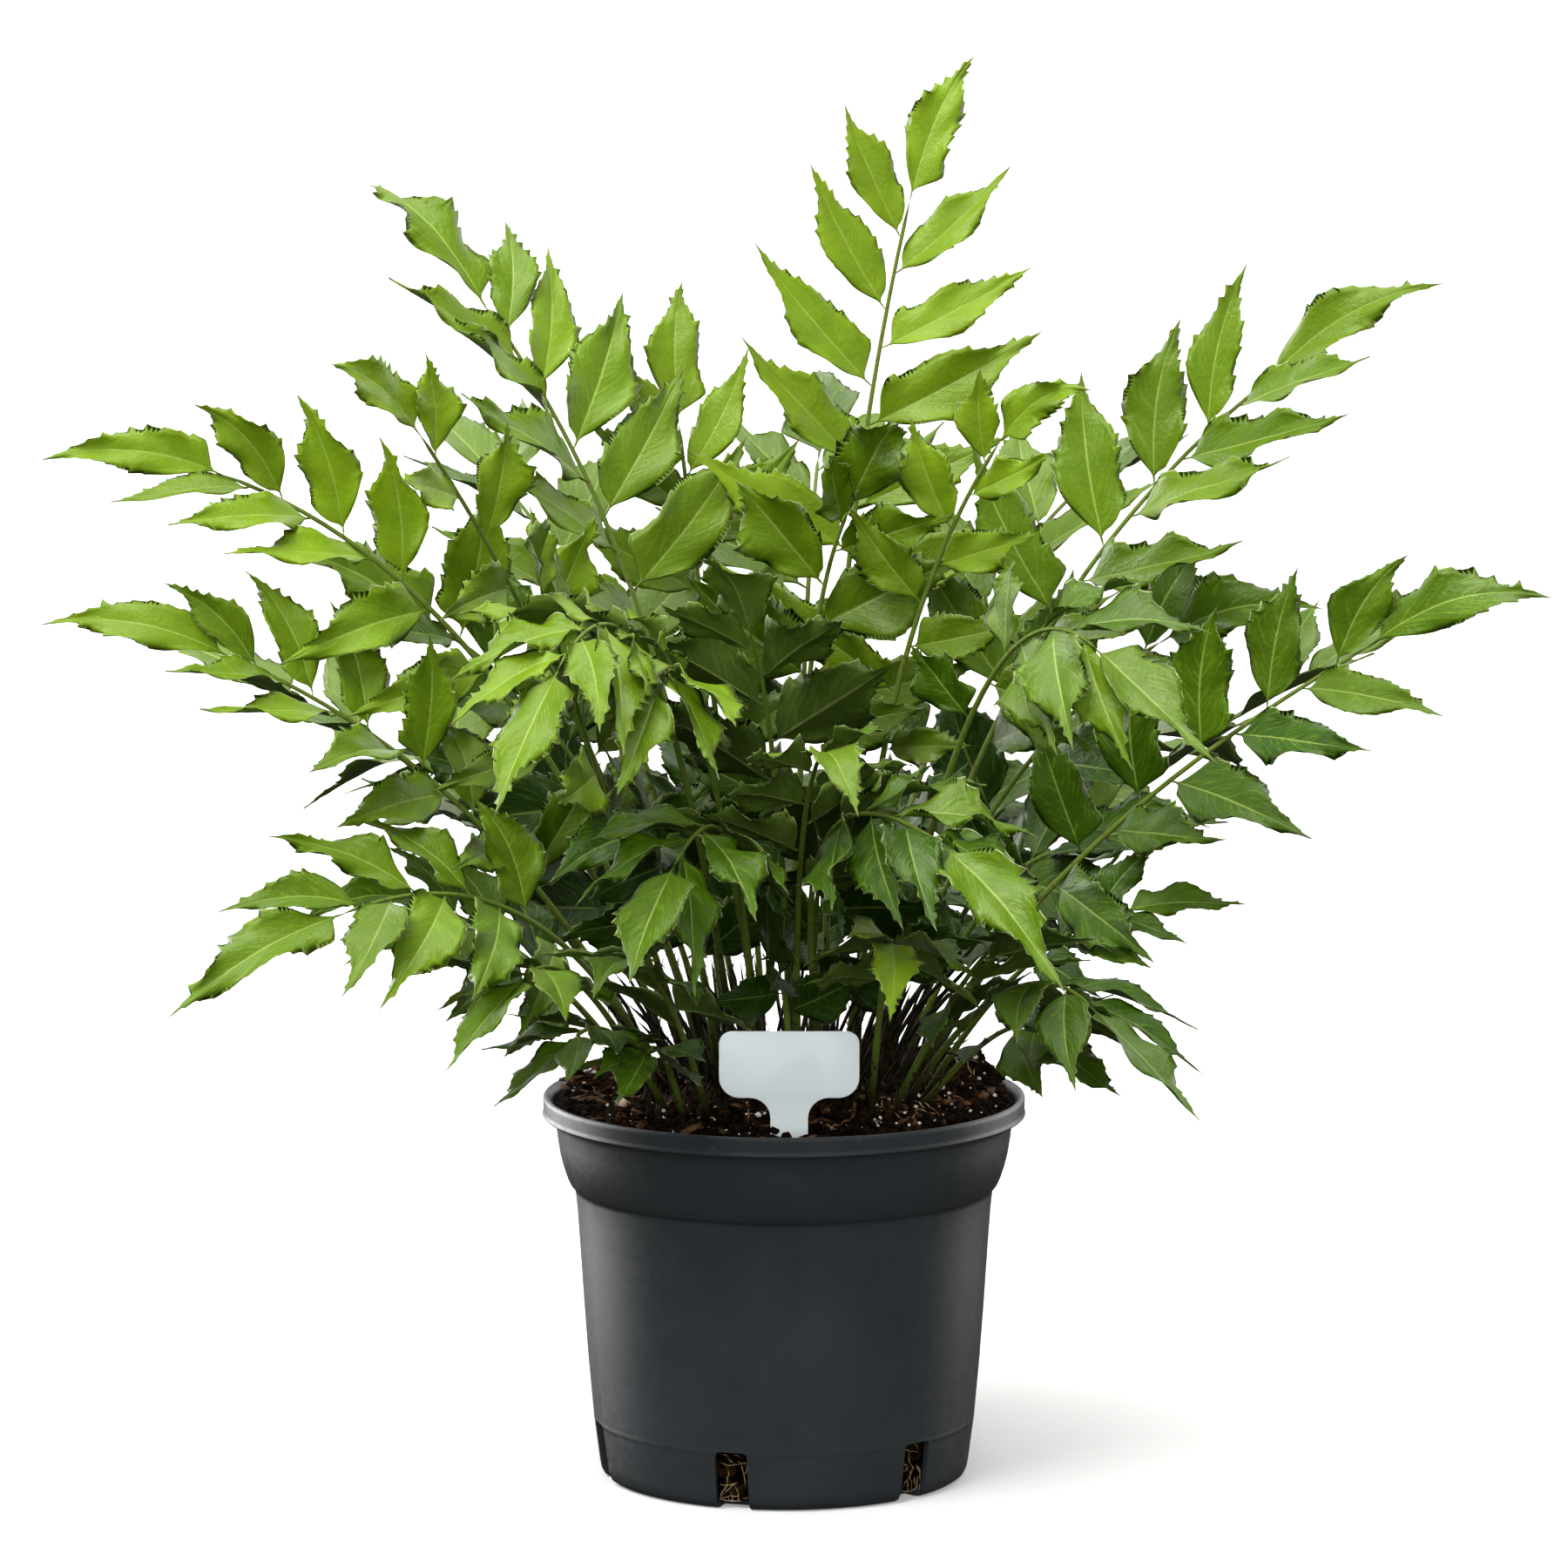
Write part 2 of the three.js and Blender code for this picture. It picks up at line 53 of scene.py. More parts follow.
def addNode(tree, kind, values=None, links=None, **settings):
    # values fill the node's sockets, links join outputs of earlier nodes to them
    node = tree.nodes.new(kind)
    for name, value in settings.items():
        setattr(node, name, value)
    for socket, value in (values or {}).items():
        node.inputs[socket].default_value = value
    for socket, source in (links or {}).items():
        tree.links.new(source, node.inputs[socket])
    return node


def newMaterial(name, values):
    material = bpy.data.materials.new(name)
    material.use_nodes = True
    for socket, value in values.items():
        material.node_tree.nodes["Principled BSDF"].inputs[socket].default_value = value
    return material, material.node_tree


def dressSurface(material, colour, relief, strength, depth, gloss=None):
    # joins a pattern's colour, its relief as bump of a depth in millimetres, and its roughness
    tree = material.node_tree
    bump = addNode(tree, "ShaderNodeBump", {"Strength": strength, "Distance": depth * millimetre},
                   {"Height": relief})
    for socket, source in (("Base Color", colour), ("Roughness", gloss), ("Normal", bump.outputs["Normal"])):
        if source is not None:
            tree.links.new(source, tree.nodes["Principled BSDF"].inputs[socket])
    return material


def patternScale(size):
    # the scale that makes a noise pattern's spots so many millimetres wide
    return 1 / (size * millimetre)


# a Mix node's colour sockets share their names, so they go by number
mixFactor, mixUnder, mixOver, mixResult = 0, 6, 7, 2


def layColour(tree, source, span, strength, under, over):
    # Lays one colour over another, more and more while a pattern's value runs through the span.
    # A colour is a hex text or an earlier layer.
    mask = addNode(tree, "ShaderNodeMapRange", {
        "From Min": span[0], "From Max": span[1], "To Min": strength[0], "To Max": strength[1]},
        {"Value": source})
    values, links = {}, {mixFactor: mask.outputs["Result"]}
    for socket, colour in ((mixUnder, under), (mixOver, over)):
        if isinstance(colour, str):
            values[socket] = linearColour(colour)
        else:
            links[socket] = colour
    return addNode(tree, "ShaderNodeMix", values, links, data_type="RGBA").outputs[mixResult]


def chance(seed, k):
    # the same number between -1 and 1 each time, as the solids use it
    value = math.sin(seed * 12.9898 + k * 78.233) * 43758.5453
    return 2 * (value - math.floor(value)) - 1


def share(seed, k):
    return (chance(seed, k) + 1) / 2


def between(limits, part):
    return limits[0] + (limits[1] - limits[0]) * part


def smoothStep(low, high, value):
    t = min(1.0, max(0.0, (value - low) / (high - low)))
    return t * t * (3 - 2 * t)


def riseAndFall(rise, fall, value):
    # 0, then up to 1 through the rise, and down to 0 again through the fall
    return smoothStep(*rise, value) * (1 - smoothStep(*fall, value))


def curveThrough(points, value):
    # a smooth line through [place, height] points
    last = len(points) - 1
    k = next((i for i in range(last) if value <= points[i + 1][0]), last - 1)
    before, a, b, after = points[max(k - 1, 0)], points[k], points[k + 1], points[min(k + 2, last)]
    span = b[0] - a[0]
    slopeA = (b[1] - before[1]) / (b[0] - before[0])
    slopeB = (after[1] - a[1]) / (after[0] - a[0])
    t = min(1.0, max(0.0, (value - a[0]) / span))
    return ((2 * t ** 3 - 3 * t ** 2 + 1) * a[1] + (t ** 3 - 2 * t ** 2 + t) * span * slopeA
            + (3 * t ** 2 - 2 * t ** 3) * b[1] + (t ** 3 - t ** 2) * span * slopeB)


def setMaterial(verts, index):
    for face in {f for vert in verts for f in vert.link_faces}:
        face.material_index = index


def closeSeams(bm, distance=0.0005):
    bmesh.ops.remove_doubles(bm, verts=bm.verts[:], dist=distance)
    bmesh.ops.recalc_face_normals(bm, faces=bm.faces[:])


def addObject(name, data):
    item = bpy.data.objects.new(name, data)
    bpy.context.scene.collection.objects.link(item)
    return item


def finishMesh(name, bm):
    # the bmesh is in millimetres and in place
    bmesh.ops.scale(bm, vec=Vector((millimetre,) * 3), verts=bm.verts[:])
    mesh = bpy.data.meshes.new(name)
    bm.to_mesh(mesh)
    bm.free()
    return mesh


def makePiece(name, bm, materials, nodes):
    for face in bm.faces:
        face.smooth = True
    mesh = finishMesh(name, bm)
    for material in materials:
        mesh.materials.append(material)
    piece = addObject(name, mesh)
    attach(piece, "root")
    if nodes:
        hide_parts(*nodes)
    return piece


# Camera at the height and distance that the pot's rim and base give, looking a little down.
cameraStyle = {"place": (0, -3.4, 0.78), "pitch": 8.45, "lens": 201.7, "sensor": 36, "clipEnd": 50}

camera = addObject("camera", bpy.data.cameras.new("camera"))
camera.location = cameraStyle["place"]
camera.rotation_euler = (math.radians(90 - cameraStyle["pitch"]), 0, 0)
camera.data.lens, camera.data.sensor_width = cameraStyle["lens"], cameraStyle["sensor"]
camera.data.clip_end = cameraStyle["clipEnd"]
bpy.context.scene.camera = camera
bpy.context.scene.view_settings.view_transform = "Standard"

# Soft light from above the camera's left shoulder and from the top, weaker from the front and the
# right: [name, place that it shines from, strength, breadth in degrees]. The front light isn't
# mirrored, because it would grey the leaves. The panels at both sides and behind show only as
# reflections, as white studio walls do: [name, place, power, width, height].
lightStyle = {
    "lamps": [
        ("keyLight", (-1.1, -1.1, 2.3), 3.6, 40),
        ("fillLight", (1.8, -1.5, 1.0), 0.4, 60),
        ("frontLight", (0.1, -2.6, 0.5), 1.6, 40),
        ("topLight", (0.2, 0.5, 2.6), 2.5, 50),
    ],
    "unmirrored": ("frontLight",),
    "panels": [
        ("leftPanel", (-1.6, 1.0, 0.5), 80.0, 1.8, 1.6),
        ("rightPanel", (1.7, 0.9, 0.5), 32.0, 1.6, 1.6),
        ("backPanel", (-0.2, 2.4, 1.3), 55.0, 5.0, 2.2),
    ],
    "lampAim": (0, 0, 0), "panelAim": (0, 0, 0.2), "worldColour": "f6f6f2", "worldStrength": 0.07,
}


def hangLight(name, data, place, aim):
    light = addObject(name, data)
    light.location = place
    light.rotation_euler = (Vector(aim) - Vector(place)).to_track_quat("-Z", "Y").to_euler()
    return light


for lampName, place, strength, breadth in lightStyle["lamps"]:
    lamp = bpy.data.lights.new(lampName, "SUN")
    lamp.energy, lamp.angle = strength, math.radians(breadth)
    light = hangLight(lampName, lamp, place, lightStyle["lampAim"])
    light.visible_glossy = lampName not in lightStyle["unmirrored"]

for panelName, place, power, width, height in lightStyle["panels"]:
    panel = bpy.data.lights.new(panelName, "AREA")
    panel.shape, panel.size, panel.size_y, panel.energy = "RECTANGLE", width, height, power
    hangLight(panelName, panel, place, lightStyle["panelAim"]).visible_diffuse = False

world = bpy.data.worlds.new("studioWhite")
world.use_nodes = True
background = world.node_tree.nodes["Background"]
background.inputs["Color"].default_value = linearColour(lightStyle["worldColour"])
background.inputs["Strength"].default_value = lightStyle["worldStrength"]
bpy.context.scene.world = world

# Floor: one sheet of white acrylic that runs on out of sight. It glows a little, so that it stays
# white in the plant's shadow.
floorStyle = {"colour": "f7f7f5", "reach": 60000, "glow": 0.24}


def makeFloor(style):
    bm = bmesh.new()
    bmesh.ops.create_grid(bm, x_segments=1, y_segments=1, size=style["reach"] / 2)
    white = linearColour(style["colour"])
    sheet, _ = newMaterial("litWhiteAcrylic", {
        "Base Color": white, "Roughness": 0.95, "Specular IOR Level": 0.1,
        "Emission Color": white, "Emission Strength": style["glow"]})
    mesh = finishMesh("studioFloor", bm)
    mesh.materials.append(sheet)
    floor = addObject("studioFloor", mesh)
    floor.visible_diffuse = False  # or the white floor would light the plant's dark middle from below
    floor.visible_glossy = False


makeFloor(floorStyle)
print("camera, lights and floor ready")


# Nursery pot: injection moulded polypropylene, blue-black and satin. The section is [radius, height].
potStyle = {
    "steps": 168,
    "section": [
        (0, 1.4), (58, 1.4), (60, 0), (66.6, 0), (69.6, 0.4), (71.4, 1.6), (72.4, 3.6), (73.0, 7),  # base
        (74.9, 21.5), (75.02, 22.6), (75.14, 23), (75.2, 23.6), (75.22, 24.4), (75.33, 25.6),  # mould ring
        (77.1, 45), (78.8, 68), (80.3, 91), (81.4, 106.5),  # wall
        (82.15, 113.6), (82.3, 114.8), (82.5, 115.4), (82.9, 115.75), (83.6, 116.3), (84.3, 117.2),  # step
        (85.5, 119.9), (86.8, 123.8), (88.1, 128.9), (89.0, 134.5), (89.8, 140.6),  # collar
        (90.2, 142.4), (90.6, 143.2), (91.4, 143.6), (93.4, 143.8), (94.5, 144.0), (94.95, 144.4),
        (94.98, 144.9), (94.7, 145.4), (94.6, 146.2), (94.62, 146.6), (94.78, 150.0), (94.8, 150.4),
        (94.7, 151.1), (94.45, 151.6), (94.0, 151.85), (93.5, 151.9), (93.0, 151.75), (92.6, 151.35),
        (92.2, 150.8), (91.1, 150),  # rolled lip
        (90.2, 146), (88.1, 141), (87.8, 139), (85.3, 125.6), (82.2, 117.6), (80.2, 113.5), (75.4, 56),
        (71.2, 11), (70.6, 7), (69, 4.2), (66, 3.1), (0, 3.1),  # inside
    ],
    "slotWidth": 13, "slotBottom": -4, "slotTop": 23.7, "slotReach": (61, 90), "slotCount": 6,
    "firstSlotTurn": -16, "slotCorner": 2.2, "cornerSteps": 5, "crease": 50,
    "colour": "33383b", "darkColour": "2c3134", "cloudSize": 45.5, "gloss": (0.36, 0.5),
    "grainSize": 0.625,  # the real grain is finer, and wouldn't show
    "dustColour": "6d6a62", "dust": 0.4, "dustSize": 4.17, "dustHeights": (128, 152),
    "dustThreshold": (0.78, 0.66),
}


def moulded(style):
    # Soft light and dark clouds and a fine grain give it a dull sheen. Dry dust and lime sit on the
    # rim and, in a few specks, lower down.
    material, tree = newMaterial("mouldedPolypropylene", {"IOR": 1.49, "Specular IOR Level": 0.5})
    place = addNode(tree, "ShaderNodeTexCoord").outputs["Object"]
    grain = addNode(tree, "ShaderNodeTexNoise", {"Scale": patternScale(style["grainSize"]), "Detail": 3.0},
                    {"Vector": place})
    cloud = addNode(tree, "ShaderNodeTexNoise", {
        "Scale": patternScale(style["cloudSize"]), "Detail": 5.0, "Roughness": 0.6}, {"Vector": place})
    scuff = addNode(tree, "ShaderNodeTexNoise", {
        "Scale": patternScale(style["dustSize"]), "Detail": 4.0, "Roughness": 0.75}, {"Vector": place})
    tone = layColour(tree, cloud.outputs["Fac"], (0.35, 0.65), (0, 1), style["darkColour"], style["colour"])
    height = addNode(tree, "ShaderNodeSeparateXYZ", {}, {"Vector": place})
    (low, high), (below, above) = style["dustHeights"], style["dustThreshold"]
    threshold = addNode(tree, "ShaderNodeMapRange", {
        "From Min": low * millimetre, "From Max": high * millimetre, "To Min": below, "To Max": above},
        {"Value": height.outputs["Z"]})
    speck = addNode(tree, "ShaderNodeMath", {}, {0: scuff.outputs["Fac"], 1: threshold.outputs["Result"]},
                    operation="GREATER_THAN")
    dusty = layColour(tree, speck.outputs["Value"], (0, 1), (0, style["dust"]), tone, style["dustColour"])
    gloss = addNode(tree, "ShaderNodeMapRange", {
        "From Min": 0.3, "From Max": 0.7, "To Min": style["gloss"][0], "To Max": style["gloss"][1]},
        {"Value": scuff.outputs["Fac"]})
    return dressSurface(material, dusty, grain.outputs["Fac"], 0.25, 0.2, gloss.outputs["Result"])


def spinSection(bm, section, steps):
    # a section of [radius, height] points, turned once round the upright axis
    verts = [bm.verts.new((radius, 0, height)) for radius, height in section]
    edges = [bm.edges.new(pair) for pair in zip(verts, verts[1:])]
    bmesh.ops.spin(bm, geom=verts + edges, cent=(0, 0, 0), axis=upright, dvec=(0, 0, 0),
                   angle=math.tau, steps=steps, use_merge=True)
    closeSeams(bm)


def slotTurn(style, k):
    # the first slot is a little left of the front
    return math.radians(-90 + style["firstSlotTurn"] + k * 360 / style["slotCount"])


def slotCutters(style):
    # blocks through the wall, rounded at the slots' upper corners
    bm = bmesh.new()
    near, far = style["slotReach"]
    bottom, top = style["slotBottom"], style["slotTop"]
    for k in range(style["slotCount"]):
        block = bmesh.ops.create_cube(bm, size=1)["verts"]
        scale = Matrix.Diagonal((far - near, style["slotWidth"], top - bottom, 1))
        turn = Matrix.Rotation(slotTurn(style, k), 4, "Z")
        middle = Matrix.Translation(((near + far) / 2, 0, (bottom + top) / 2))
        bmesh.ops.transform(bm, matrix=turn @ middle @ scale, verts=block)
        corners = [e for e in bm.edges if all(v in block and v.co.z > top - 1 for v in e.verts)
                   and abs(e.calc_length() - (far - near)) < 0.1]
        bmesh.ops.bevel(bm, geom=corners, offset=style["slotCorner"], offset_type="OFFSET",
                        segments=style["cornerSteps"], profile=0.5, affect="EDGES", material=-1)
    return addObject("slotCutters", finishMesh("slotCutters", bm))


def makePot(style):
    bm = bmesh.new()
    spinSection(bm, style["section"], style["steps"])
    pot = makePiece("mouldedPot", bm, [moulded(style)], ["nursery_pot"])
    cutters = slotCutters(style)
    cut = pot.modifiers.new("slots", "BOOLEAN")
    cut.operation, cut.solver, cut.object = "DIFFERENCE", "EXACT", cutters
    finished = bpy.data.meshes.new_from_object(pot.evaluated_get(bpy.context.evaluated_depsgraph_get()))
    pot.modifiers.clear()
    pot.data = finished
    bpy.data.objects.remove(cutters)
    creased = bmesh.new()
    creased.from_mesh(finished)
    for edge in creased.edges:
        edge.smooth = edge.is_manifold and edge.calc_face_angle(0) < math.radians(style["crease"])
    creased.to_mesh(finished)
    creased.free()


makePot(potStyle)
print("pot ready")


# Potting mix: peat with bark chips, fine roots and grains of perlite, damp and dark, with painted shade that
# makes it nearly black in the hollows of its relief.
mixStyle = {
    "steps": 220, "rings": 56, "edgeHeight": 150.6, "topStart": 149.1, "wallGap": 0.35,
    "side": [(0, 3.5), (68.5, 3.5), (70.6, 8), (79.8, 113.5), (81.8, 117.6), (84.9, 125.6), (87.4, 139),
             (87.7, 141), (89.8, 146), (90.7, 149.8)],
    "mound": 9.5, "sink": 0.8, "moundEdge": (0.95, 1.0),
    # [place, breadth, height]: knolls of coarse mix, and last the dip at the label's neck
    "heaps": [((64, 30), 20, 7.5), ((80, 16), 5, 5.5), ((76, 26), 4, 4.5), ((60, 44), 6, 4),
              ((-70, 20), 16, 4.5), ((-80, 12), 4, 4), ((-60, 40), 7, 3), ((2, -82), 10, -4.5)],
    # layers of noise: [height, breadth, start]
    "waves": [(2.6, 19, (0, 0, 0)), (1.7, 8.3, (5, 1, 2))],
    "crumb": [(1.1, 3.1, (9, 4, 7)), (0.55, 1.4, (0, 0, 0))],
    "pits": [(1.2, 4), (0.5, 1.3)], "pitStart": 4,
    "peatDark": "040301", "peatLight": "3e2c18", "peatRed": "4e2c12", "lumpSize": 3.85, "stainSize": 22.2,
}

# What lies on the mix and grows in it. The last number of each is its material.
litterStyle = {
    # crumbs, perlite and bark chips: [count, sizes, seed, nearest to the middle, stretch, material]
    "scattered": [
        (1500, (0.7, 2.9), 11, 0.0, (1, 0.85, 0.8), 0),
        (420, (0.4, 1.5), 23, 0.0, (1, 0.85, 0.8), 2),
        (230, (1.8, 7.0), 37, 0.35, (1, 0.35, 0.18), 1),
    ],
    "sunk": 0.25, "tilt": 0.5, "scatteredRough": (0.3, 2.2),
    # fibres and old roots that curl over the top: [count, seed, radius, step, curl, material]
    "strands": [(90, 51, 0.32, 2.1, 0.5, 3), (16, 53, 0.95, 4.2, 0.35, 4)],
    "strandPoints": 8, "strandSides": 6, "strandInner": 0.45, "strandLimit": 84, "strandWave": 0.5,
    # one round pellet of fertiliser at the left: [radius, place, material]
    "pellet": (2.2, (-63, -38.5, 155), 5),
    # chips that stand up at the left rim: [place, lean, size, material]
    "standing": [
        ((-83, 12, 153), -24, (2.2, 3.5, 6.5), 1), ((-76, 24, 155), 30, (2.0, 3, 6), 1),
        ((-80, 2, 151), 62, (1.6, 2.6, 8.5), 1), ((-70, 8, 154.5), 76, (1.3, 2.2, 9), 1),
    ],
    "standingRough": (0.35, 1.9),
    # fine pale roots along the wall, seen in the slots; a swing is radians round the pot
    "wallRoots": 17, "wallRootSeed": 80, "wallRootRadius": 0.18, "wallRootSides": 5, "wallRootPoints": 6,
    "wallRootMaterial": 3, "wallRootStep": 1.9, "wallRootCurl": 0.6, "wallRadius": 70.7, "wallDraft": 0.022,
    "wallMean": 71, "rootMiddle": 12.5, "rootSpread": 9, "rootHeights": (3.6, 22), "rootSwing": 0.07,
    "swingLimit": 0.078,
    # what they are of, by those numbers: peat, then [name, dark, light, size of its mottles, roughness]
    "crumbDark": "120c07",
    "stuffs": [
        ("pineBark", "190f08", "76583a", 3.33, 0.85),  # brown, nearly black in its cracks
        ("perlite", "c9c3b4", "faf6ee", 1.11, 0.8),  # expanded white mineral, off-white in its pores
        ("fineRoot", "7a5a38", "c9b48c", 2.5, 0.7),  # straw-coloured
        ("oldRoot", "2a1a10", "7a5534", 3.85, 0.8),  # rusty brown
        ("coatedPellet", "b58f80", "e2c4b4", 2.0, 0.6),  # pale pink, faintly marbled
    ],
}


def noiseSum(layers, place):
    return sum(tall * noise.noise(place / breadth + Vector(start)) for tall, breadth, start in layers)


def topHeight(style, x, y):
    # the mound, its heaps and its waves end at the rim; the crumb runs on
    part = math.hypot(x, y) / (style["side"][-1][0] - style["wallGap"])
    place = Vector((x, y, 0))
    heap = sum(tall * math.exp(-((x - middle[0]) ** 2 + (y - middle[1]) ** 2) / (2 * reach * reach))
               for middle, reach, tall in style["heaps"])
    edge = 1 - smoothStep(*style["moundEdge"], part)
    raised = style["mound"] * (1 - part * part) + heap + noiseSum(style["waves"], place)
    return style["edgeHeight"] - style["sink"] + raised * edge + noiseSum(style["crumb"], place)


def peat(style, dark):
    # milled peat: matt, soaks up light, with rusty fibres
    material, tree = newMaterial("milledPeat", {"Roughness": 0.95, "Specular IOR Level": 0.02})
    place = addNode(tree, "ShaderNodeTexCoord").outputs["Object"]
    lump = addNode(tree, "ShaderNodeTexNoise", {
        "Scale": patternScale(style["lumpSize"]), "Detail": 6.0, "Roughness": 0.7}, {"Vector": place})
    stain = addNode(tree, "ShaderNodeTexNoise", {"Scale": patternScale(style["stainSize"]), "Detail": 3.0},
                    {"Vector": place})
    light = layColour(tree, stain.outputs["Fac"], (0.5, 0.65), (0, 1), style["peatLight"], style["peatRed"])
    # near-black where the lumps' relief is low: painted shade in the hollows
    colour = layColour(tree, lump.outputs["Fac"], (0.47, 0.72), (0, 1), dark, light)
    return dressSurface(material, colour, lump.outputs["Fac"], 0.8, 1.2)


def mottled(name, dark, light, spotSize, roughness):
    # one mineral or woody stuff in small dull pieces, mottled between two colours
    material, tree = newMaterial(name, {"Roughness": roughness, "Specular IOR Level": 0.1})
    place = addNode(tree, "ShaderNodeTexCoord").outputs["Object"]
    mottle = addNode(tree, "ShaderNodeTexNoise", {"Scale": patternScale(spotSize), "Detail": 4.0},
                     {"Vector": place})
    colour = layColour(tree, mottle.outputs["Fac"], (0.36, 0.66), (0, 1), dark, light)
    return dressSurface(material, colour, mottle.outputs["Fac"], 0.5, 0.4)


def scatterPlace(seed, k, inner, outer=0.97):
    # a place on the mix, spread evenly between two parts of its radius
    radius = (mixStyle["side"][-1][0] - mixStyle["wallGap"]) * math.sqrt(
        inner ** 2 + (outer ** 2 - inner ** 2) * share(seed, 3 * k))
    turn = math.pi * chance(seed, 3 * k + 1)
    return radius * math.cos(turn), radius * math.sin(turn)


def addLump(bm, subdivisions, size, rough, start, placing, index):
    # a ball with three radii, made uneven by noise: rough is [depth, scale]
    made = bmesh.ops.create_icosphere(bm, subdivisions=subdivisions, radius=1)["verts"]
    for vert in made:
        uneven = 1 + rough[0] * noise.noise(vert.co * rough[1] + Vector(start))
        vert.co = Vector(vert.co[i] * size[i] * uneven for i in range(3))
    bmesh.ops.transform(bm, matrix=placing, verts=made)
    setMaterial(made, index)


def addStick(bm, points, radius, sides, index, taper=0.6, tip=0.02):
    # a thin root or stalk along a few points, from a grid rolled up, nearly closed at both ends
    last = len(points) - 1
    made = bmesh.ops.create_grid(bm, x_segments=last, y_segments=sides, size=1)["verts"]
    for vert in made:
        k = round((vert.co.x + 1) / 2 * last)
        angle = (vert.co.y + 1) * math.pi
        along = (points[min(k + 1, last)] - points[max(k - 1, 0)]).normalized()
        out = along.orthogonal().normalized()
        across = along.cross(out)
        reach = radius * (1 - taper * k / last) * (tip if k in (0, last) else 1)
        vert.co = points[k] + reach * (math.cos(angle) * out + math.sin(angle) * across)
    setMaterial(made, index)


def makeMix(style):
    bm = bmesh.new()
    rim, rings = style["side"][-1][0], style["rings"]
    section = style["side"] + [(rim, style["edgeHeight"] - 1)]
    section += [(rim * (1 - k / rings), style["edgeHeight"]) for k in range(1, rings + 1)]
    spinSection(bm, [(max(0, r - style["wallGap"]), z) for r, z in section], style["steps"])
    for vert in bm.verts:
        x, y, z = vert.co
        if z > style["topStart"]:
            vert.co.z = topHeight(style, x, y)
        elif z > style["pitStart"]:  # small pits in the side, which show in the slots
            pit = sum(deep * abs(noise.noise(vert.co / breadth)) for deep, breadth in style["pits"])
            vert.co.xy = vert.co.xy * (1 - pit / math.hypot(x, y))
    bmesh.ops.recalc_face_normals(bm, faces=bm.faces[:])
    makePiece("peatMix", bm, [peat(style, style["peatDark"])], ["potting_mix"])


def addScattered(bm, style):
    sizeDraw, turnDraw, tiltDraw = 5000, 7000, 8000
    for count, sizes, seed, inner, stretch, index in style["scattered"]:
        for k in range(count):
            x, y = scatterPlace(seed, k, inner)
            size = between(sizes, abs(chance(seed, sizeDraw + k)) ** 2)
            lift = topHeight(mixStyle, x, y) + style["sunk"] * size * stretch[2]
            placing = (Matrix.Translation((x, y, lift))
                       @ Matrix.Rotation(math.pi * chance(seed, turnDraw + k), 4, "Z")
                       @ Matrix.Rotation(style["tilt"] * chance(seed, tiltDraw + k), 4, "Y"))
            addLump(bm, 1, [size * part for part in stretch], style["scatteredRough"], (k, seed, 0), placing,
                    index)


def addStrands(bm, style):
    headingDraw, curlDraw = 900, 1000
    for count, seed, radius, step, curl, index in style["strands"]:
        for k in range(count):
            x, y = scatterPlace(seed, k, style["strandInner"])
            heading = math.pi * chance(seed, headingDraw + k)
            points = []
            for n in range(style["strandPoints"]):
                x, y = x + step * math.cos(heading), y + step * math.sin(heading)
                heading += curl * chance(seed, curlDraw + 9 * k + n)
                if math.hypot(x, y) > style["strandLimit"]:
                    break
                lift = radius + style["strandWave"] * math.sin(n + k)
                points.append(Vector((x, y, topHeight(mixStyle, x, y) + lift)))
            if len(points) > 3:
                addStick(bm, points, radius, style["strandSides"], index)


def addWallRoots(bm, style):
    curlDraw = 300
    low, high = style["rootHeights"]
    limit, step = style["swingLimit"], style["wallRootStep"]
    for slot in range(potStyle["slotCount"]):
        middle, seed = slotTurn(potStyle, slot), style["wallRootSeed"] + slot
        for k in range(style["wallRoots"]):
            swing = style["rootSwing"] * chance(seed, 5 * k)
            height = style["rootMiddle"] + style["rootSpread"] * chance(seed, 5 * k + 1)
            heading = math.pi * chance(seed, 5 * k + 2)
            points = []
            for n in range(style["wallRootPoints"]):
                radius, turn = style["wallRadius"] + style["wallDraft"] * height, middle + swing
                points.append(Vector((radius * math.cos(turn), radius * math.sin(turn), height)))
                swing = min(limit, max(-limit, swing + step * math.cos(heading) / style["wallMean"]))
                height = min(high, max(low, height + step * math.sin(heading)))
                heading += style["wallRootCurl"] * chance(seed, curlDraw + 9 * k + n)
            addStick(bm, points, style["wallRootRadius"], style["wallRootSides"], style["wallRootMaterial"])


def makeLitter(style):
    bm = bmesh.new()
    addScattered(bm, style)
    addStrands(bm, style)
    radius, place, index = style["pellet"]
    addLump(bm, 3, (radius,) * 3, (0, 1), (0, 0, 0), Matrix.Translation(place), index)
    for place, lean, size, index in style["standing"]:
        placing = Matrix.Translation(place) @ Matrix.Rotation(math.radians(lean), 4, "Y")
        addLump(bm, 2, size, style["standingRough"], place, placing, index)
    addWallRoots(bm, style)
    closeSeams(bm)
    stuffs = [peat(mixStyle, style["crumbDark"])] + [mottled(*words) for words in style["stuffs"]]
    makePiece("mixLitter", bm, stuffs, [])


makeMix(mixStyle)
makeLitter(litterStyle)
print("potting mix ready")


# Plant label: die-cut white polystyrene, with a faint paler line where its edge catches light, which is a
# painted highlight. The sheet is thin, and it glows a little, which is painted light.
labelStyle = {
    "width": 54, "height": 26, "neck": 14.5, "length": 100, "point": 16, "thickness": 1,
    "place": (2, -75, 190), "corner": 5, "lowCorner": 8, "neckCorner": 8, "cornerSteps": 8, "rim": 1.3,
    "edgeRound": 0.22, "edgeAngle": 60, "colour": "f2fcfd", "shadeColour": "ecf7f9",
    "rimHighlightColour": "fbfefe", "paintedGlow": 0.08, "cloudSize": 16.7,
    "grainSize": 0.667,  # the sheet's own grain is finer, and wouldn't show
}


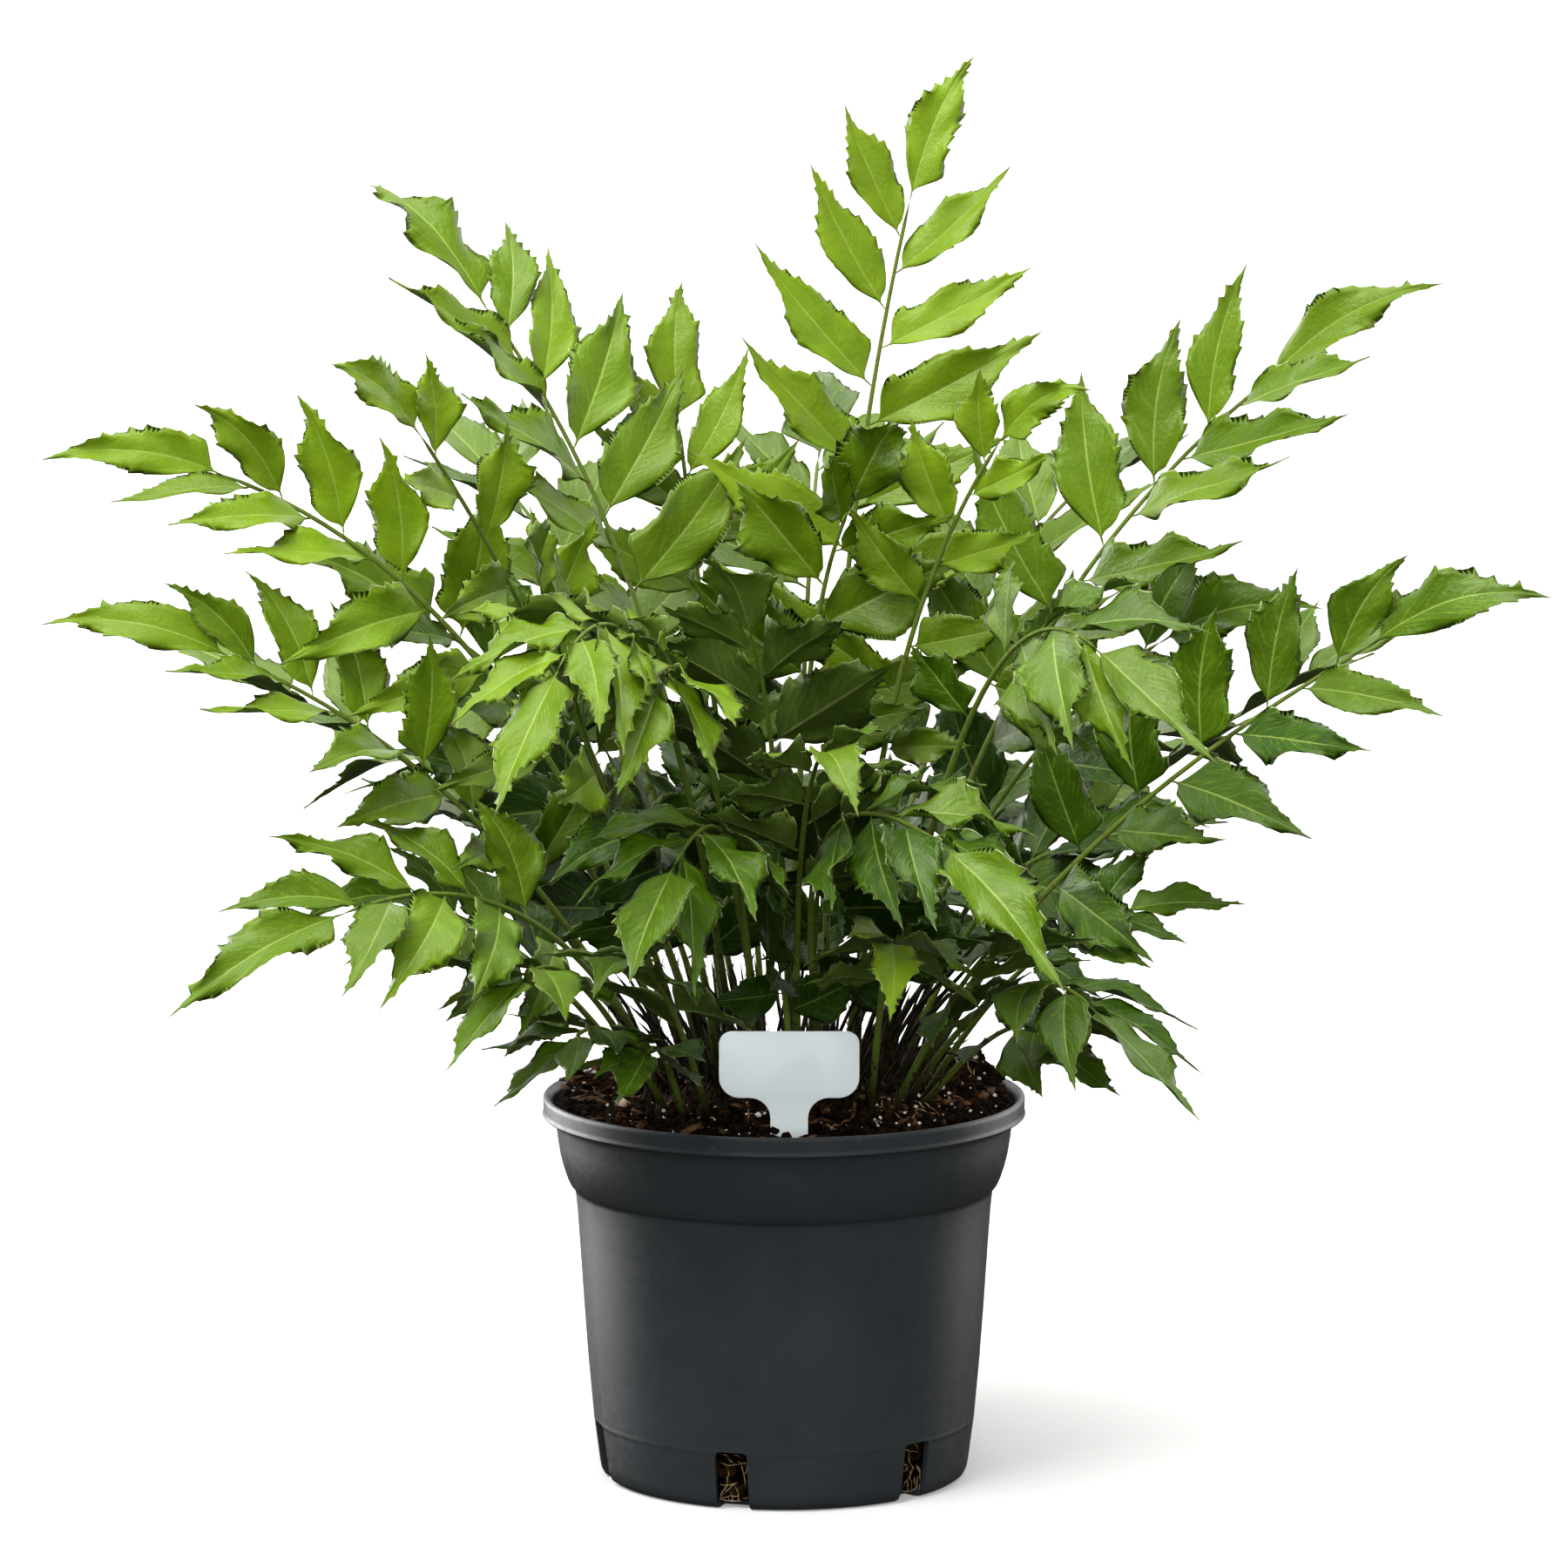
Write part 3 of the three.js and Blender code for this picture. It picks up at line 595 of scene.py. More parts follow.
def labelSheet(style):
    # the sheet's emission is painted light: it glows a little, though it is no lamp
    sheet, tree = newMaterial("whitePolystyrene", {
        "Roughness": 0.38, "IOR": 1.59, "Emission Color": linearColour(style["colour"]),
        "Emission Strength": style["paintedGlow"]})
    place = addNode(tree, "ShaderNodeTexCoord").outputs["Object"]
    cloud = addNode(tree, "ShaderNodeTexNoise", {"Scale": patternScale(style["cloudSize"]), "Detail": 3.0},
                    {"Vector": place})
    grain = addNode(tree, "ShaderNodeTexNoise", {"Scale": patternScale(style["grainSize"]), "Detail": 2.0},
                    {"Vector": place})
    colour = layColour(tree, cloud.outputs["Fac"], (0, 1), (0, 1), style["shadeColour"], style["colour"])
    return dressSurface(sheet, colour, grain.outputs["Fac"], 0.15, 0.1)


def makeLabel(style):
    bm = bmesh.new()
    half, neck, head, foot = style["width"] / 2, style["neck"] / 2, -style["height"], -style["length"]
    outline = [(-half, 0), (-half, head), (-neck, head), (-neck, foot + style["point"]), (0, foot),
               (neck, foot + style["point"]), (neck, head), (half, head), (half, 0)]
    verts = [bm.verts.new((x, 0, z)) for x, z in outline]
    bm.faces.new(verts)
    # each bevel renews the vertices, so the next corners are found again by their places
    for pair, key in (((0, 8), "corner"), ((1, 7), "lowCorner"), ((2, 6), "neckCorner")):
        places = [Vector((outline[i][0], 0, outline[i][1])) for i in pair]
        corners = [v for v in bm.verts if any((v.co - place).length < 0.01 for place in places)]
        bmesh.ops.bevel(bm, geom=corners, offset=style[key], offset_type="OFFSET",
                        segments=style["cornerSteps"], profile=0.5, affect="VERTICES", material=-1)
    border = bmesh.ops.inset_region(bm, faces=bm.faces[:], thickness=style["rim"], depth=0)["faces"]
    for face in border:
        face.material_index = 1
    made = bmesh.ops.extrude_face_region(bm, geom=bm.faces[:])
    moved = [v for v in made["geom"] if isinstance(v, bmesh.types.BMVert)]
    bmesh.ops.translate(bm, vec=(0, style["thickness"], 0), verts=moved)
    bmesh.ops.recalc_face_normals(bm, faces=bm.faces[:])
    rims = [e for e in bm.edges if e.is_manifold and e.calc_face_angle(0) > math.radians(style["edgeAngle"])]
    bmesh.ops.bevel(bm, geom=rims, offset=style["edgeRound"], offset_type="OFFSET", segments=2, profile=0.5,
                    affect="EDGES", material=-1)
    x, y, z = style["place"]
    bmesh.ops.translate(bm, vec=(x, y - style["thickness"] / 2, z), verts=bm.verts[:])
    # the paler border is a painted highlight, where the edge catches light
    edge, _ = newMaterial("whitePolystyreneRim", {
        "Base Color": linearColour(style["rimHighlightColour"]), "Roughness": 0.3, "IOR": 1.59})
    makePiece("labelSheet", bm, [labelSheet(style), edge], ["plant_label"])


makeLabel(labelStyle)
print("label ready")


# Fronds, as the solids have them: name, root, waist, end, [leaflets, longest, bare part of the stem,
# half their breadth], [way the face looks, its rise, fold, hang], [age from 0, fresh, to 1, dark and
# leathery, raggedness of the margins from 0 to 1]. Ways, rises and folds are degrees.
crownDepth = 148
lastStation = 0.95
frondRows = [
    ("tall", (17, 10), (23, 30, 333), (50, 69, 499),
     (12, 84, 0.42, 0.16), (4, 5, 12, 0.1), (0.2, 0.25)),
    ("left_top", (-21, 15), (-53, 40, 325), (-118, 78, 454),
     (11, 95, 0.45, 0.165), (45, 15, 24, 0.2), (0.48, 0.35)),
    ("left_high", (-34, 0), (-110, -10, 313), (-218, -19, 399),
     (11, 82, 0.4, 0.165), (0, 35, 36, 0.22), (0.3, 0.35)),
    ("left_mid", (-44, -10), (-115, -40, 262), (-213, -58, 333),
     (11, 78, 0.4, 0.165), (0, 50, 38, 0.22), (0.46, 0.4)),
    ("left_low", (-42, -25), (-97, -70, 232), (-167, -120, 243),
     (8, 76, 0.42, 0.175), (0, 50, 10, 0.2), (0.56, 0.45)),
    ("left_small", (-46, -35), (-76, -80, 207), (-98, -112, 218),
     (5, 56, 0.5, 0.22), (0, 84, -10, 0.12), (0.75, 0.3)),
    ("soil_left", (-44, -45), (-63, -70, 186), (-80, -88, 190),
     (5, 46, 0.5, 0.26), (0, 84, 0, 0.06), (0.8, 0.3)),
    ("right_top", (38, 10), (91, 20, 311), (189, 29, 430),
     (11, 92, 0.42, 0.165), (-34, 30, 28, 0.14), (0.54, 0.35)),
    ("right_mid", (46, -15), (110, -45, 248), (225, -68, 339),
     (11, 86, 0.4, 0.17), (0, 40, 36, 0.2), (0.82, 0.45)),
    ("right_low", (51, -25), (89, -50, 207), (130, -70, 236),
     (7, 54, 0.42, 0.19), (0, 50, 15, 0.15), (0.9, 0.3)),
    ("right_bottom", (44, -35), (83, -85, 206), (116, -122, 208),
     (6, 66, 0.45, 0.2), (0, 84, -10, 0.2), (0.8, 0.25)),
    ("front_right", (34, -38), (72, -100, 318), (116, -162, 350),
     (8, 64, 0.48, 0.24), (5, 40, -4, 0.26), (0.7, 0.8)),
    ("front_low_right", (20, -47), (14, -98, 264), (60, -160, 275),
     (8, 64, 0.5, 0.25), (5, 50, -8, 0.28), (0.8, 0.8)),
    ("front_low_left", (-12, -50), (-19, -104, 262), (-41, -162, 268),
     (7, 58, 0.5, 0.25), (0, 60, -8, 0.28), (0.86, 0.8)),
    ("front_left", (-16, -38), (-48, -108, 328), (-84, -172, 343),
     (8, 62, 0.5, 0.24), (0, 60, -6, 0.25), (0.42, 0.9)),
    ("front_mid", (-4, -40), (-30, -98, 304), (-47, -152, 334),
     (7, 60, 0.52, 0.24), (10, 60, -6, 0.25), (0.52, 0.9)),
    ("left_light", (-24, -12), (-78, -50, 303), (-138, -100, 424),
     (7, 64, 0.46, 0.21), (40, 25, 20, 0.2), (0.2, 0.8)),
    ("left_inner", (-30, -28), (-70, -72, 285), (-92, -115, 368),
     (7, 60, 0.42, 0.24), (60, 30, 5, 0.2), (0.35, 0.7)),
    ("right_light", (29, 0), (41, -20, 302), (83, -40, 414),
     (8, 60, 0.46, 0.2), (-20, 20, 20, 0.2), (0.2, 0.8)),
    ("centre_back", (-7, 30), (-28, 60, 301), (-42, 90, 407),
     (8, 70, 0.42, 0.19), (10, 10, 20, 0.1), (0.4, 0.3)),
    ("front_centre", (6, -42), (6, -88, 252), (14, -146, 308),
     (7, 56, 0.48, 0.24), (0, 86, -8, 0.3), (0.62, 0.8)),
    ("centre_small", (33, -54), (38, -86, 212), (41, -118, 232),
     (5, 52, 0.5, 0.25), (0, 86, -10, 0.35), (0.4, 0.7)),
    ("inner_left", (-28, 6), (-72, 15, 265), (-135, 10, 335),
     (6, 76, 0.36, 0.24), (10, 50, 20, 0.15), (0.75, 0.3)),
    ("inner_right", (27, 14), (82, 25, 260), (148, 10, 330),
     (6, 76, 0.36, 0.24), (-10, 50, 20, 0.15), (0.75, 0.3)),
    ("inner_front", (3, -28), (-2, -60, 270), (-12, -95, 345),
     (7, 72, 0.36, 0.25), (0, 84, 5, 0.2), (0.55, 0.6)),
    ("inner_centre", (3, 4), (8, -5, 300), (25, -20, 385),
     (7, 74, 0.36, 0.24), (0, 30, 15, 0.2), (0.5, 0.5)),
    ("low_left", (-50, -15), (-92, -35, 205), (-138, -55, 236),
     (7, 56, 0.42, 0.23), (0, 50, 10, 0.25), (0.75, 0.3)),
    ("low_right", (40, -48), (62, -85, 200), (80, -125, 232),
     (6, 54, 0.42, 0.25), (0, 84, -8, 0.2), (0.85, 0.3)),
    ("low_front", (-28, -54), (-42, -95, 200), (-55, -130, 226),
     (6, 54, 0.42, 0.25), (0, 84, -8, 0.2), (0.8, 0.3)),
    ("back_left_low", (-34, 30), (-82, 85, 232), (-140, 150, 262),
     (6, 73, 0.42, 0.23), (0, 80, 10, 0.3), (0.7, 0.3)),
    ("back_left_high", (-22, 28), (-66, 85, 300), (-118, 160, 378),
     (6, 80, 0.42, 0.22), (0, 80, 20, 0.12), (0.7, 0.3)),
    ("back_high", (3, 30), (8, 95, 305), (14, 165, 385),
     (6, 82, 0.42, 0.22), (0, 80, 20, 0.12), (0.7, 0.3)),
    ("back_low", (12, 44), (18, 120, 240), (24, 205, 280),
     (5, 75, 0.42, 0.21), (0, 80, 5, 0.3), (0.7, 0.3)),
    ("back_right_high", (24, 30), (66, 85, 298), (122, 158, 374),
     (6, 80, 0.42, 0.22), (0, 80, 20, 0.12), (0.7, 0.3)),
    ("back_right_low", (42, 30), (88, 85, 236), (142, 150, 272),
     (6, 73, 0.42, 0.23), (0, 80, 10, 0.3), (0.7, 0.3)),
    ("back_left_side", (-48, 10), (-116, 48, 245), (-195, 88, 296),
     (6, 79, 0.4, 0.23), (0, 80, 28, 0.1), (0.7, 0.3)),
    ("back_right_side", (50, 8), (120, 42, 246), (206, 82, 304),
     (6, 79, 0.4, 0.23), (0, 80, 28, 0.1), (0.7, 0.3)),
    ("back_centre_low", (-14, 46), (-34, 112, 226), (-60, 178, 238),
     (5, 70, 0.45, 0.23), (0, 80, -5, 0.35), (0.7, 0.3)),
    ("back_small", (32, 46), (54, 100, 208), (74, 145, 216),
     (5, 54, 0.45, 0.2), (0, 80, -5, 0.45), (0.7, 0.3)),
    ("soil_front", (-38, -52), (-46, -74, 179), (-52, -98, 186),
     (4, 42, 0.5, 0.27), (0, 84, 0, 0.06), (0.8, 0.3)),
    ("behind_label", (1, -58), (1, -66, 196), (-5, -77, 215),
     (5, 50, 0.5, 0.25), (0, 60, 0, 0.15), (0.7, 0.3)),
    ("soil_right", (50, -31), (80, -56, 184), (98, -78, 190),
     (5, 48, 0.45, 0.26), (0, 84, 0, 0.08), (0.8, 0.3)),
    ("mid_left", (-24, -22), (-36, -52, 232), (-50, -80, 266),
     (6, 66, 0.36, 0.27), (0, 50, 0, 0.2), (0.8, 0.5)),
    ("mid_centre", (10, -18), (12, -44, 222), (14, -70, 250),
     (6, 66, 0.36, 0.27), (0, 50, 0, 0.2), (0.8, 0.5)),
    ("mid_right", (22, -26), (35, -50, 232), (54, -80, 262),
     (6, 66, 0.36, 0.27), (0, 50, 0, 0.2), (0.8, 0.5)),
    ("deep_left", (-42, 18), (-68, 20, 222), (-96, 18, 262),
     (6, 68, 0.36, 0.27), (0, 50, 10, 0.15), (0.9, 0.3)),
    ("deep_right", (42, 0), (74, -4, 220), (106, -12, 250),
     (6, 68, 0.36, 0.27), (0, 50, 10, 0.15), (0.9, 0.3)),
    ("deep_centre", (-8, 38), (-12, 58, 214), (-22, 76, 250),
     (6, 68, 0.34, 0.27), (0, 60, 0, 0.15), (0.9, 0.3)),
    ("deep_back_left", (-26, 42), (-46, 66, 212), (-68, 84, 242),
     (6, 68, 0.34, 0.27), (0, 60, 0, 0.15), (0.9, 0.3)),
    ("deep_back_right", (22, 40), (44, 62, 212), (66, 82, 240),
     (6, 68, 0.34, 0.27), (0, 60, 0, 0.15), (0.9, 0.3)),
]


def readFrond(name, root, waist, end, leaves, pose, looks):
    # the stem is a curve from its root past its waist to its end
    words = ("count", "size", "bare", "broad", "turn", "rise", "fold", "hang", "age", "ragged")
    row = dict(zip(words, leaves + pose + looks))
    turn, rise = math.radians(row["turn"]), math.radians(row["rise"])
    start, finish = Vector((*root, crownDepth)), Vector(end)
    row.update(name=name, start=start, end=finish, bend=2 * Vector(waist) - 0.5 * (start + finish))
    row["look"] = Vector((math.sin(turn) * math.cos(rise), -math.cos(turn) * math.cos(rise), math.sin(rise)))
    row["seed"] = sum((k + 1) * ord(letter) for k, letter in enumerate(name))
    return row


def stemFrame(row, t):
    # a place on the stem, with the ways along it, out of its upper face and to its side
    s = 1 - t
    point = s * s * row["start"] + 2 * s * t * row["bend"] + t * t * row["end"]
    along = (-s * row["start"] + (s - t) * row["bend"] + t * row["end"]).normalized()
    up = (row["look"] - row["look"].dot(along) * along).normalized()
    return point, along, up, up.cross(along)


# How leaflets grow on a frond, as in the solids. Side leaflets get shorter from the middle of the
# frond to both its ends. A roll is how far a random draw changes the value before it.
sideLeaf = {
    "lean": 68, "leanDrop": 25, "leanRoll": 6, "liftRoll": 8, "length": 0.8, "lengthRise": 0.6,
    "lengthFall": 0.66, "lengthRoll": 0.08, "wideRoll": 0.12, "hook": 0.17, "hookRoll": 0.06,
    "droopRoll": 0.4, "twist": -6, "twistRoll": 12, "crowding": 0.9,
}
endLeaf = {
    "place": 0.993, "foldShare": 0.3, "liftRoll": 6, "length": 1.1, "lengthRoll": 0.1, "wide": 0.97,
    "hook": 0.08, "hookRoll": 0.05, "droop": 1.2, "droopRise": 2, "droopMost": 2.0, "droopRoll": 0.06,
    "twistRoll": 8, "firstDraw": 900,
}
# The solids turned and shortened some leaflets so that none cross.
settling = {"sizes": (1, 0.84, 0.68), "lifts": (0, 14, -14, 28, -28, 42, -42), "near": 0.3}


def leafletRows(row):
    # leaflets stand by turns left and right; the last one ends the frond
    rows = []
    seed, count = row["seed"], row["count"]
    first = -1 if chance(seed, 0.5) > 0 else 1
    for i in range(count + 1):
        last = i == count
        u = i / (count - 1)
        grow = endLeaf if last else sideLeaf
        draw = [chance(seed, (grow["firstDraw"] if last else 8 * i) + k) for k in range(7)]
        station = grow["place"] if last else between((row["bare"], lastStation), u ** grow["crowding"])
        point, along, up, side = stemFrame(row, station)
        hook = grow["hook"] + grow["hookRoll"] * draw[4]
        if last:
            sag = min(grow["droopMost"], max(0.0, grow["droop"] + grow["droopRise"] * along.z))
            leaf = {"hand": 1 if draw[0] > 0 else -1, "lean": 0,
                    "lift": grow["foldShare"] * row["fold"] + grow["liftRoll"] * draw[1],
                    "length": row["size"] * (grow["length"] + grow["lengthRoll"] * draw[2]),
                    "wide": grow["wide"] * row["broad"],
                    "droop": row["hang"] * sag + grow["droopRoll"] * draw[5],
                    "twist": grow["twistRoll"] * draw[6]}
        else:
            length = grow["length"] + grow["lengthRise"] * u - grow["lengthFall"] * u * u
            leaf = {"hand": first if i % 2 else -first,
                    "lean": grow["lean"] - grow["leanDrop"] * u + grow["leanRoll"] * draw[0],
                    "lift": row["fold"] + grow["liftRoll"] * draw[1],
                    "length": row["size"] * length * (1 + grow["lengthRoll"] * draw[2]),
                    "wide": row["broad"] * (1 + grow["wideRoll"] * draw[3]),
                    "droop": row["hang"] * (1 + grow["droopRoll"] * draw[5]),
                    "twist": grow["twistRoll"] * draw[6] + grow["twist"]}
        leaf.update(point=point, along=along, up=up, side=side, hook=hook, seed=seed * 31 + i,
                    ragged=row["ragged"])
        rows.append(leaf)
    return rows


def leafletAxes(leaf, extraLift):
    # the leaflet's own ways: out along its rib, across towards the frond's tip, and out of its face
    lean, lift, twist = (math.radians(a) for a in (leaf["lean"], leaf["lift"] + extraLift, leaf["twist"]))
    along, up, side, hand = leaf["along"], leaf["up"], leaf["side"], leaf["hand"]
    if leaf["lean"] == 0:
        rib = math.cos(lift) * along + math.sin(lift) * up
        fore = -hand * side
    else:
        out = hand * math.cos(lift) * side + math.sin(lift) * up
        rib = math.cos(lean) * along + math.sin(lean) * out
        fore = (along - along.dot(rib) * rib).normalized()
    face = hand * fore.cross(rib)
    near, far = math.cos(twist), math.sin(twist)
    return rib, near * fore + far * face, near * face - far * fore


def solidCorners(node):
    # the corners of a frond's solid, to look its leaflets' tips up in
    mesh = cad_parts[node].data
    tree = kdtree.KDTree(len(mesh.vertices))
    for k, vertex in enumerate(mesh.vertices):
        tree.insert(vertex.co, k)
    tree.balance()
    return tree


def settleLeaflet(leaf, corners):
    # tries every size and lift until the tip is where the solid has it; a leaflet left out has none
    for size in settling["sizes"]:
        for extraLift in settling["lifts"]:
            rib, fore, face = leafletAxes(leaf, extraLift)
            length = leaf["length"] * size
            tip = leaf["point"] + length * (rib + leaf["hook"] * fore - leaf["droop"] * upright)
            if corners.find(tip * millimetre)[2] < settling["near"] * millimetre:
                return {**leaf, "rib": rib, "fore": fore, "face": face, "length": length}
    return None


# Leaflets: a leathery blade with spiny teeth, an ear on its fore side, waves along both margins and a
# drawn-out tip. Fore and rear give each half's breadth from the foot to the tip: [place, part].
leafletStyle = {
    "columns": 52, "rows": 8, "reach": 0.992, "endNarrow": 0.8, "stemRoom": 0.6, "endRoom": 9,
    "fore": [(0, 0), (0.03, 0.03), (0.07, 0.07), (0.11, 0.52), (0.155, 0.98), (0.21, 0.90), (0.31, 0.84),
             (0.43, 0.88), (0.54, 0.80), (0.65, 0.52), (0.77, 0.26), (0.89, 0.10), (1, 0)],
    "rear": [(0, 0), (0.03, 0.03), (0.07, 0.06), (0.14, 0.34), (0.24, 0.68), (0.36, 0.90), (0.46, 0.94),
             (0.57, 0.76), (0.68, 0.47), (0.79, 0.24), (0.90, 0.09), (1, 0)],
    # teeth, as parts of the leaflet's length; each takes a few columns, and leans to the tip
    "toothSmall": 0.007, "toothLarge": 0.016, "toothSpiny": 0.03, "toothStart": {1: 0.13, -1: 0.30},
    "toothFade": 0.08, "toothEnd": (0.84, 0.97), "toothRise": (0.0, 0.16, 0.48, 1.0),
    "toothLean": (0.0, 0.0, 0.12, 0.55),
    # how the margin swings out and in, plain and with raggedness
    "scallop": 0.09, "scallopPlain": 0.5, "scallopRagged": 0.7, "scallopCount": 1.7,
    "scallopRise": (0.15, 0.35), "scallopFall": (0.7, 0.95),
    # waves along both margins
    "wave": 0.062, "wavePlain": 0.3, "waveRagged": 0.8, "waveRoll": 0.45, "waveCount": 2.2,
    "waveCountRoll": 0.25, "waveLag": 0.22, "wavePower": 2.4, "waveRise": (0.06, 0.3),
    "waveFall": (0.72, 1.0),
    "cup": 0.045, "fold": 0.27, "foldRoll": 0.4, "tipCurl": 0.105, "curlStart": 0.45,
    "sweep": 0.10, "sweepRise": (0.1, 0.5), "uneven": 0.35, "unevenScale": (9, 3, 0.37),
    # thickness, thinner at the margins and both ends, with a rib below and a groove above
    "thickness": 0.36, "wallRise": (0.0, 0.03), "wallFall": (0.9, 1.0), "rowCrowding": 0.85, "edgePower": 5,
    "ribDepth": 0.7, "ribTaper": 0.7, "ribRise": (0.0, 0.06), "grooveDepth": 0.25, "grooveRise": (0.0, 0.1),
}


def marginTeeth(style, seed, sign, ragged):
    # how far each column's margin stands out and leans on, as parts of the leaflet's length
    out, ahead = [], []
    columns, pitch = style["columns"], len(style["toothRise"])
    start = style["toothStart"][sign]
    spiny = style["toothLarge"] + style["toothSpiny"] * ragged
    for i in range(columns + 1):
        roll = chance(seed, 40 + 17 * sign + i // pitch)
        tall = spiny * (0.6 + 0.4 * roll) if roll > 0.4 - 0.6 * ragged else style["toothSmall"]
        tall *= riseAndFall((start, start + style["toothFade"]), style["toothEnd"], i / columns)
        out.append(tall * style["toothRise"][i % pitch])
        ahead.append(tall * style["toothLean"][i % pitch])
    return out, ahead


def addLeaflet(bm, leaf, style, layers, tone):
    # a grid whose first half is the upper face, from margin to margin, and whose second is the under face
    columns, rows = style["columns"], style["rows"]
    middle = rows // 2
    seed, ragged, length = leaf["seed"], leaf["ragged"], leaf["length"] * style["reach"]
    half = leaf["wide"] * length * (style["endNarrow"] if leaf["lean"] == 0 else 1)
    signs = (1, -1)  # the fore half and the rear half
    teeth = {sign: marginTeeth(style, seed, sign, ragged) for sign in signs}
    phase = {1: math.pi * chance(seed, 21), -1: math.pi * chance(seed, 22)}
    count = {sign: style["waveCount"] * (1 + style["waveCountRoll"] * chance(seed, 23 + sign))
             for sign in signs}
    tall = style["wave"] * length * (style["wavePlain"] + style["waveRagged"] * ragged)
    tall *= 1 + style["waveRoll"] * chance(seed, 27)
    curl = style["tipCurl"] * (1 + chance(seed, 28))
    fold = style["fold"] * (1 + style["foldRoll"] * chance(seed, 29))
    scallop = style["scallop"] * (style["scallopPlain"] + style["scallopRagged"] * ragged) * half
    # the fore half stays clear of the stem
    room = style["stemRoom"] * math.tan(math.radians(leaf["lean"])) if leaf["lean"] > 0 else style["endRoom"]
    spreads = [{1: curveThrough(style["fore"], i / columns), -1: curveThrough(style["rear"], i / columns)}
               for i in range(columns + 1)]
    uvLayer, toneLayer = layers
    made = bmesh.ops.create_grid(bm, x_segments=columns, y_segments=2 * rows, size=1)["verts"]
    places = {}
    for vert in made:
        i = round((vert.co.x + 1) / 2 * columns)
        j = round((vert.co.y + 1) * rows)
        under = j > rows
        u = i / columns
        v = 1 - 2 * (j - rows) / rows if under else -1 + 2 * j / rows
        sign = 1 if v >= 0 else -1
        a = abs(v) ** style["rowCrowding"]
        edge = a ** style["edgePower"]
        swing = math.sin(math.tau * (style["scallopCount"] * u + 0.5 * chance(seed, 31 + sign)))
        swing *= riseAndFall(style["scallopRise"], style["scallopFall"], u)
        across = a * (max(0.0, spreads[i][sign]) * half + scallop * swing) + edge * teeth[sign][0][i] * length
        onward = u * length + edge * teeth[sign][1][i] * length
        onward += style["sweep"] * across * smoothStep(*style["sweepRise"], u)
        swell = math.sin(math.tau * count[sign] * (u - style["waveLag"] * a) + phase[sign])
        swell *= riseAndFall(style["waveRise"], style["waveFall"], u)
        height = fold * across - style["cup"] * half * a * a + tall * a ** style["wavePower"] * swell
        ranges = style["unevenScale"]
        height += style["uneven"] * noise.noise(Vector((u * ranges[0], v * ranges[1], seed * ranges[2])))
        height -= curl * length * max(0.0, u - style["curlStart"]) * (1 - u)
        if under:
            height -= style["thickness"] * (1 - edge) * riseAndFall(style["wallRise"], style["wallFall"], u)
            if j == rows + middle:
                height -= style["ribDepth"] * (1 - style["ribTaper"] * u) * smoothStep(*style["ribRise"], u)
        elif j == middle:
            height -= style["grooveDepth"] * smoothStep(*style["grooveRise"], u) * (1 - u)
        shift = leaf["hook"] * length * u * u + min(sign * across, room * u * length)
        vert.co = (leaf["point"] + onward * leaf["rib"] + shift * leaf["fore"] + height * leaf["face"]
                   - leaf["droop"] * length * u * u * upright)
        vert[toneLayer] = tone
        places[vert] = (u, v, j)
    for edge in {e for v in made for e in v.link_edges}:
        # the blade folds sharply along its rib
        edge.smooth = not all(places[v][2] in (middle, rows + middle) for v in edge.verts)
    for face in {f for v in made for f in v.link_faces}:
        face.material_index = 1 if min(places[v][2] for v in face.verts) >= rows else 0
        for loop in face.loops:
            u, v, _ = places[loop.vert]
            loop[uvLayer].uv = (u, 0.5 + 0.5 * v)


# Stems: naked stalk below, rachis above, grooved on the upper face, with brown papery scales at the foot.
stemStyle = {
    "columns": 30, "sides": 10, "radius": (1.75, 0.78), "taper": 0.7, "endRadius": 0.05,
    "groove": 0.3, "groovePower": 6, "material": 2,
    "dark": "1a160a", "green": "5c7026", "greening": (0.07, 0.24), "fleck": "4e3a20", "fleckSize": 2.38,
    "sheen": "e4eeb4",
    "scales": 40, "scaleReach": 0.22, "scaleStart": 0.01, "scaleCrowding": 1.6, "scaleLength": (2.5, 6.0),
    "scaleShrink": 1.5, "scaleWidth": 0.8, "scaleSink": 0.85, "scaleLift": 0.25, "scaleTurned": -0.4,
    "scaleMaterial": 3, "scaleStuff": ("paperyScale", "1a1209", "4e3a20", 2.0, 0.7),  # thin, brown, dry
}


def addStem(bm, row, style, layers, tone):
    made = bmesh.ops.create_grid(bm, x_segments=style["columns"], y_segments=style["sides"], size=1)["verts"]
    uvLayer, toneLayer = layers
    places = {}
    for vert in made:
        t = (vert.co.x + 1) / 2
        angle = (vert.co.y + 1) * math.pi
        point, along, up, side = stemFrame(row, t)
        radius = between(style["radius"], t ** style["taper"])
        if t < 0.001 or t > 0.999:
            radius *= style["endRadius"]
        radius *= 1 - style["groove"] * max(0.0, math.cos(angle)) ** style["groovePower"]
        vert.co = point + radius * (math.cos(angle) * up + math.sin(angle) * side)
        vert[toneLayer] = tone
        places[vert] = (t, angle / math.tau)
    setMaterial(made, style["material"])
    for face in {f for v in made for f in v.link_faces}:
        for loop in face.loops:
            loop[uvLayer].uv = places[loop.vert]


def addScale(bm, foot, along, out, length, width, index):
    # a papery scale: three cells of a grid, broad near the foot, that narrow to a point and bend out
    made = bmesh.ops.create_grid(bm, x_segments=3, y_segments=1, size=1)["verts"]
    side = along.cross(out).normalized()
    for vert in made:
        u = (vert.co.x + 1) / 2
        wide = 0.9 * width * math.sin(math.pi * min(1, 0.18 + 0.82 * u)) ** 0.8
        vert.co = foot + u * length * along + u * u * 0.5 * length * out + 0.5 * wide * vert.co.y * side
    setMaterial(made, index)


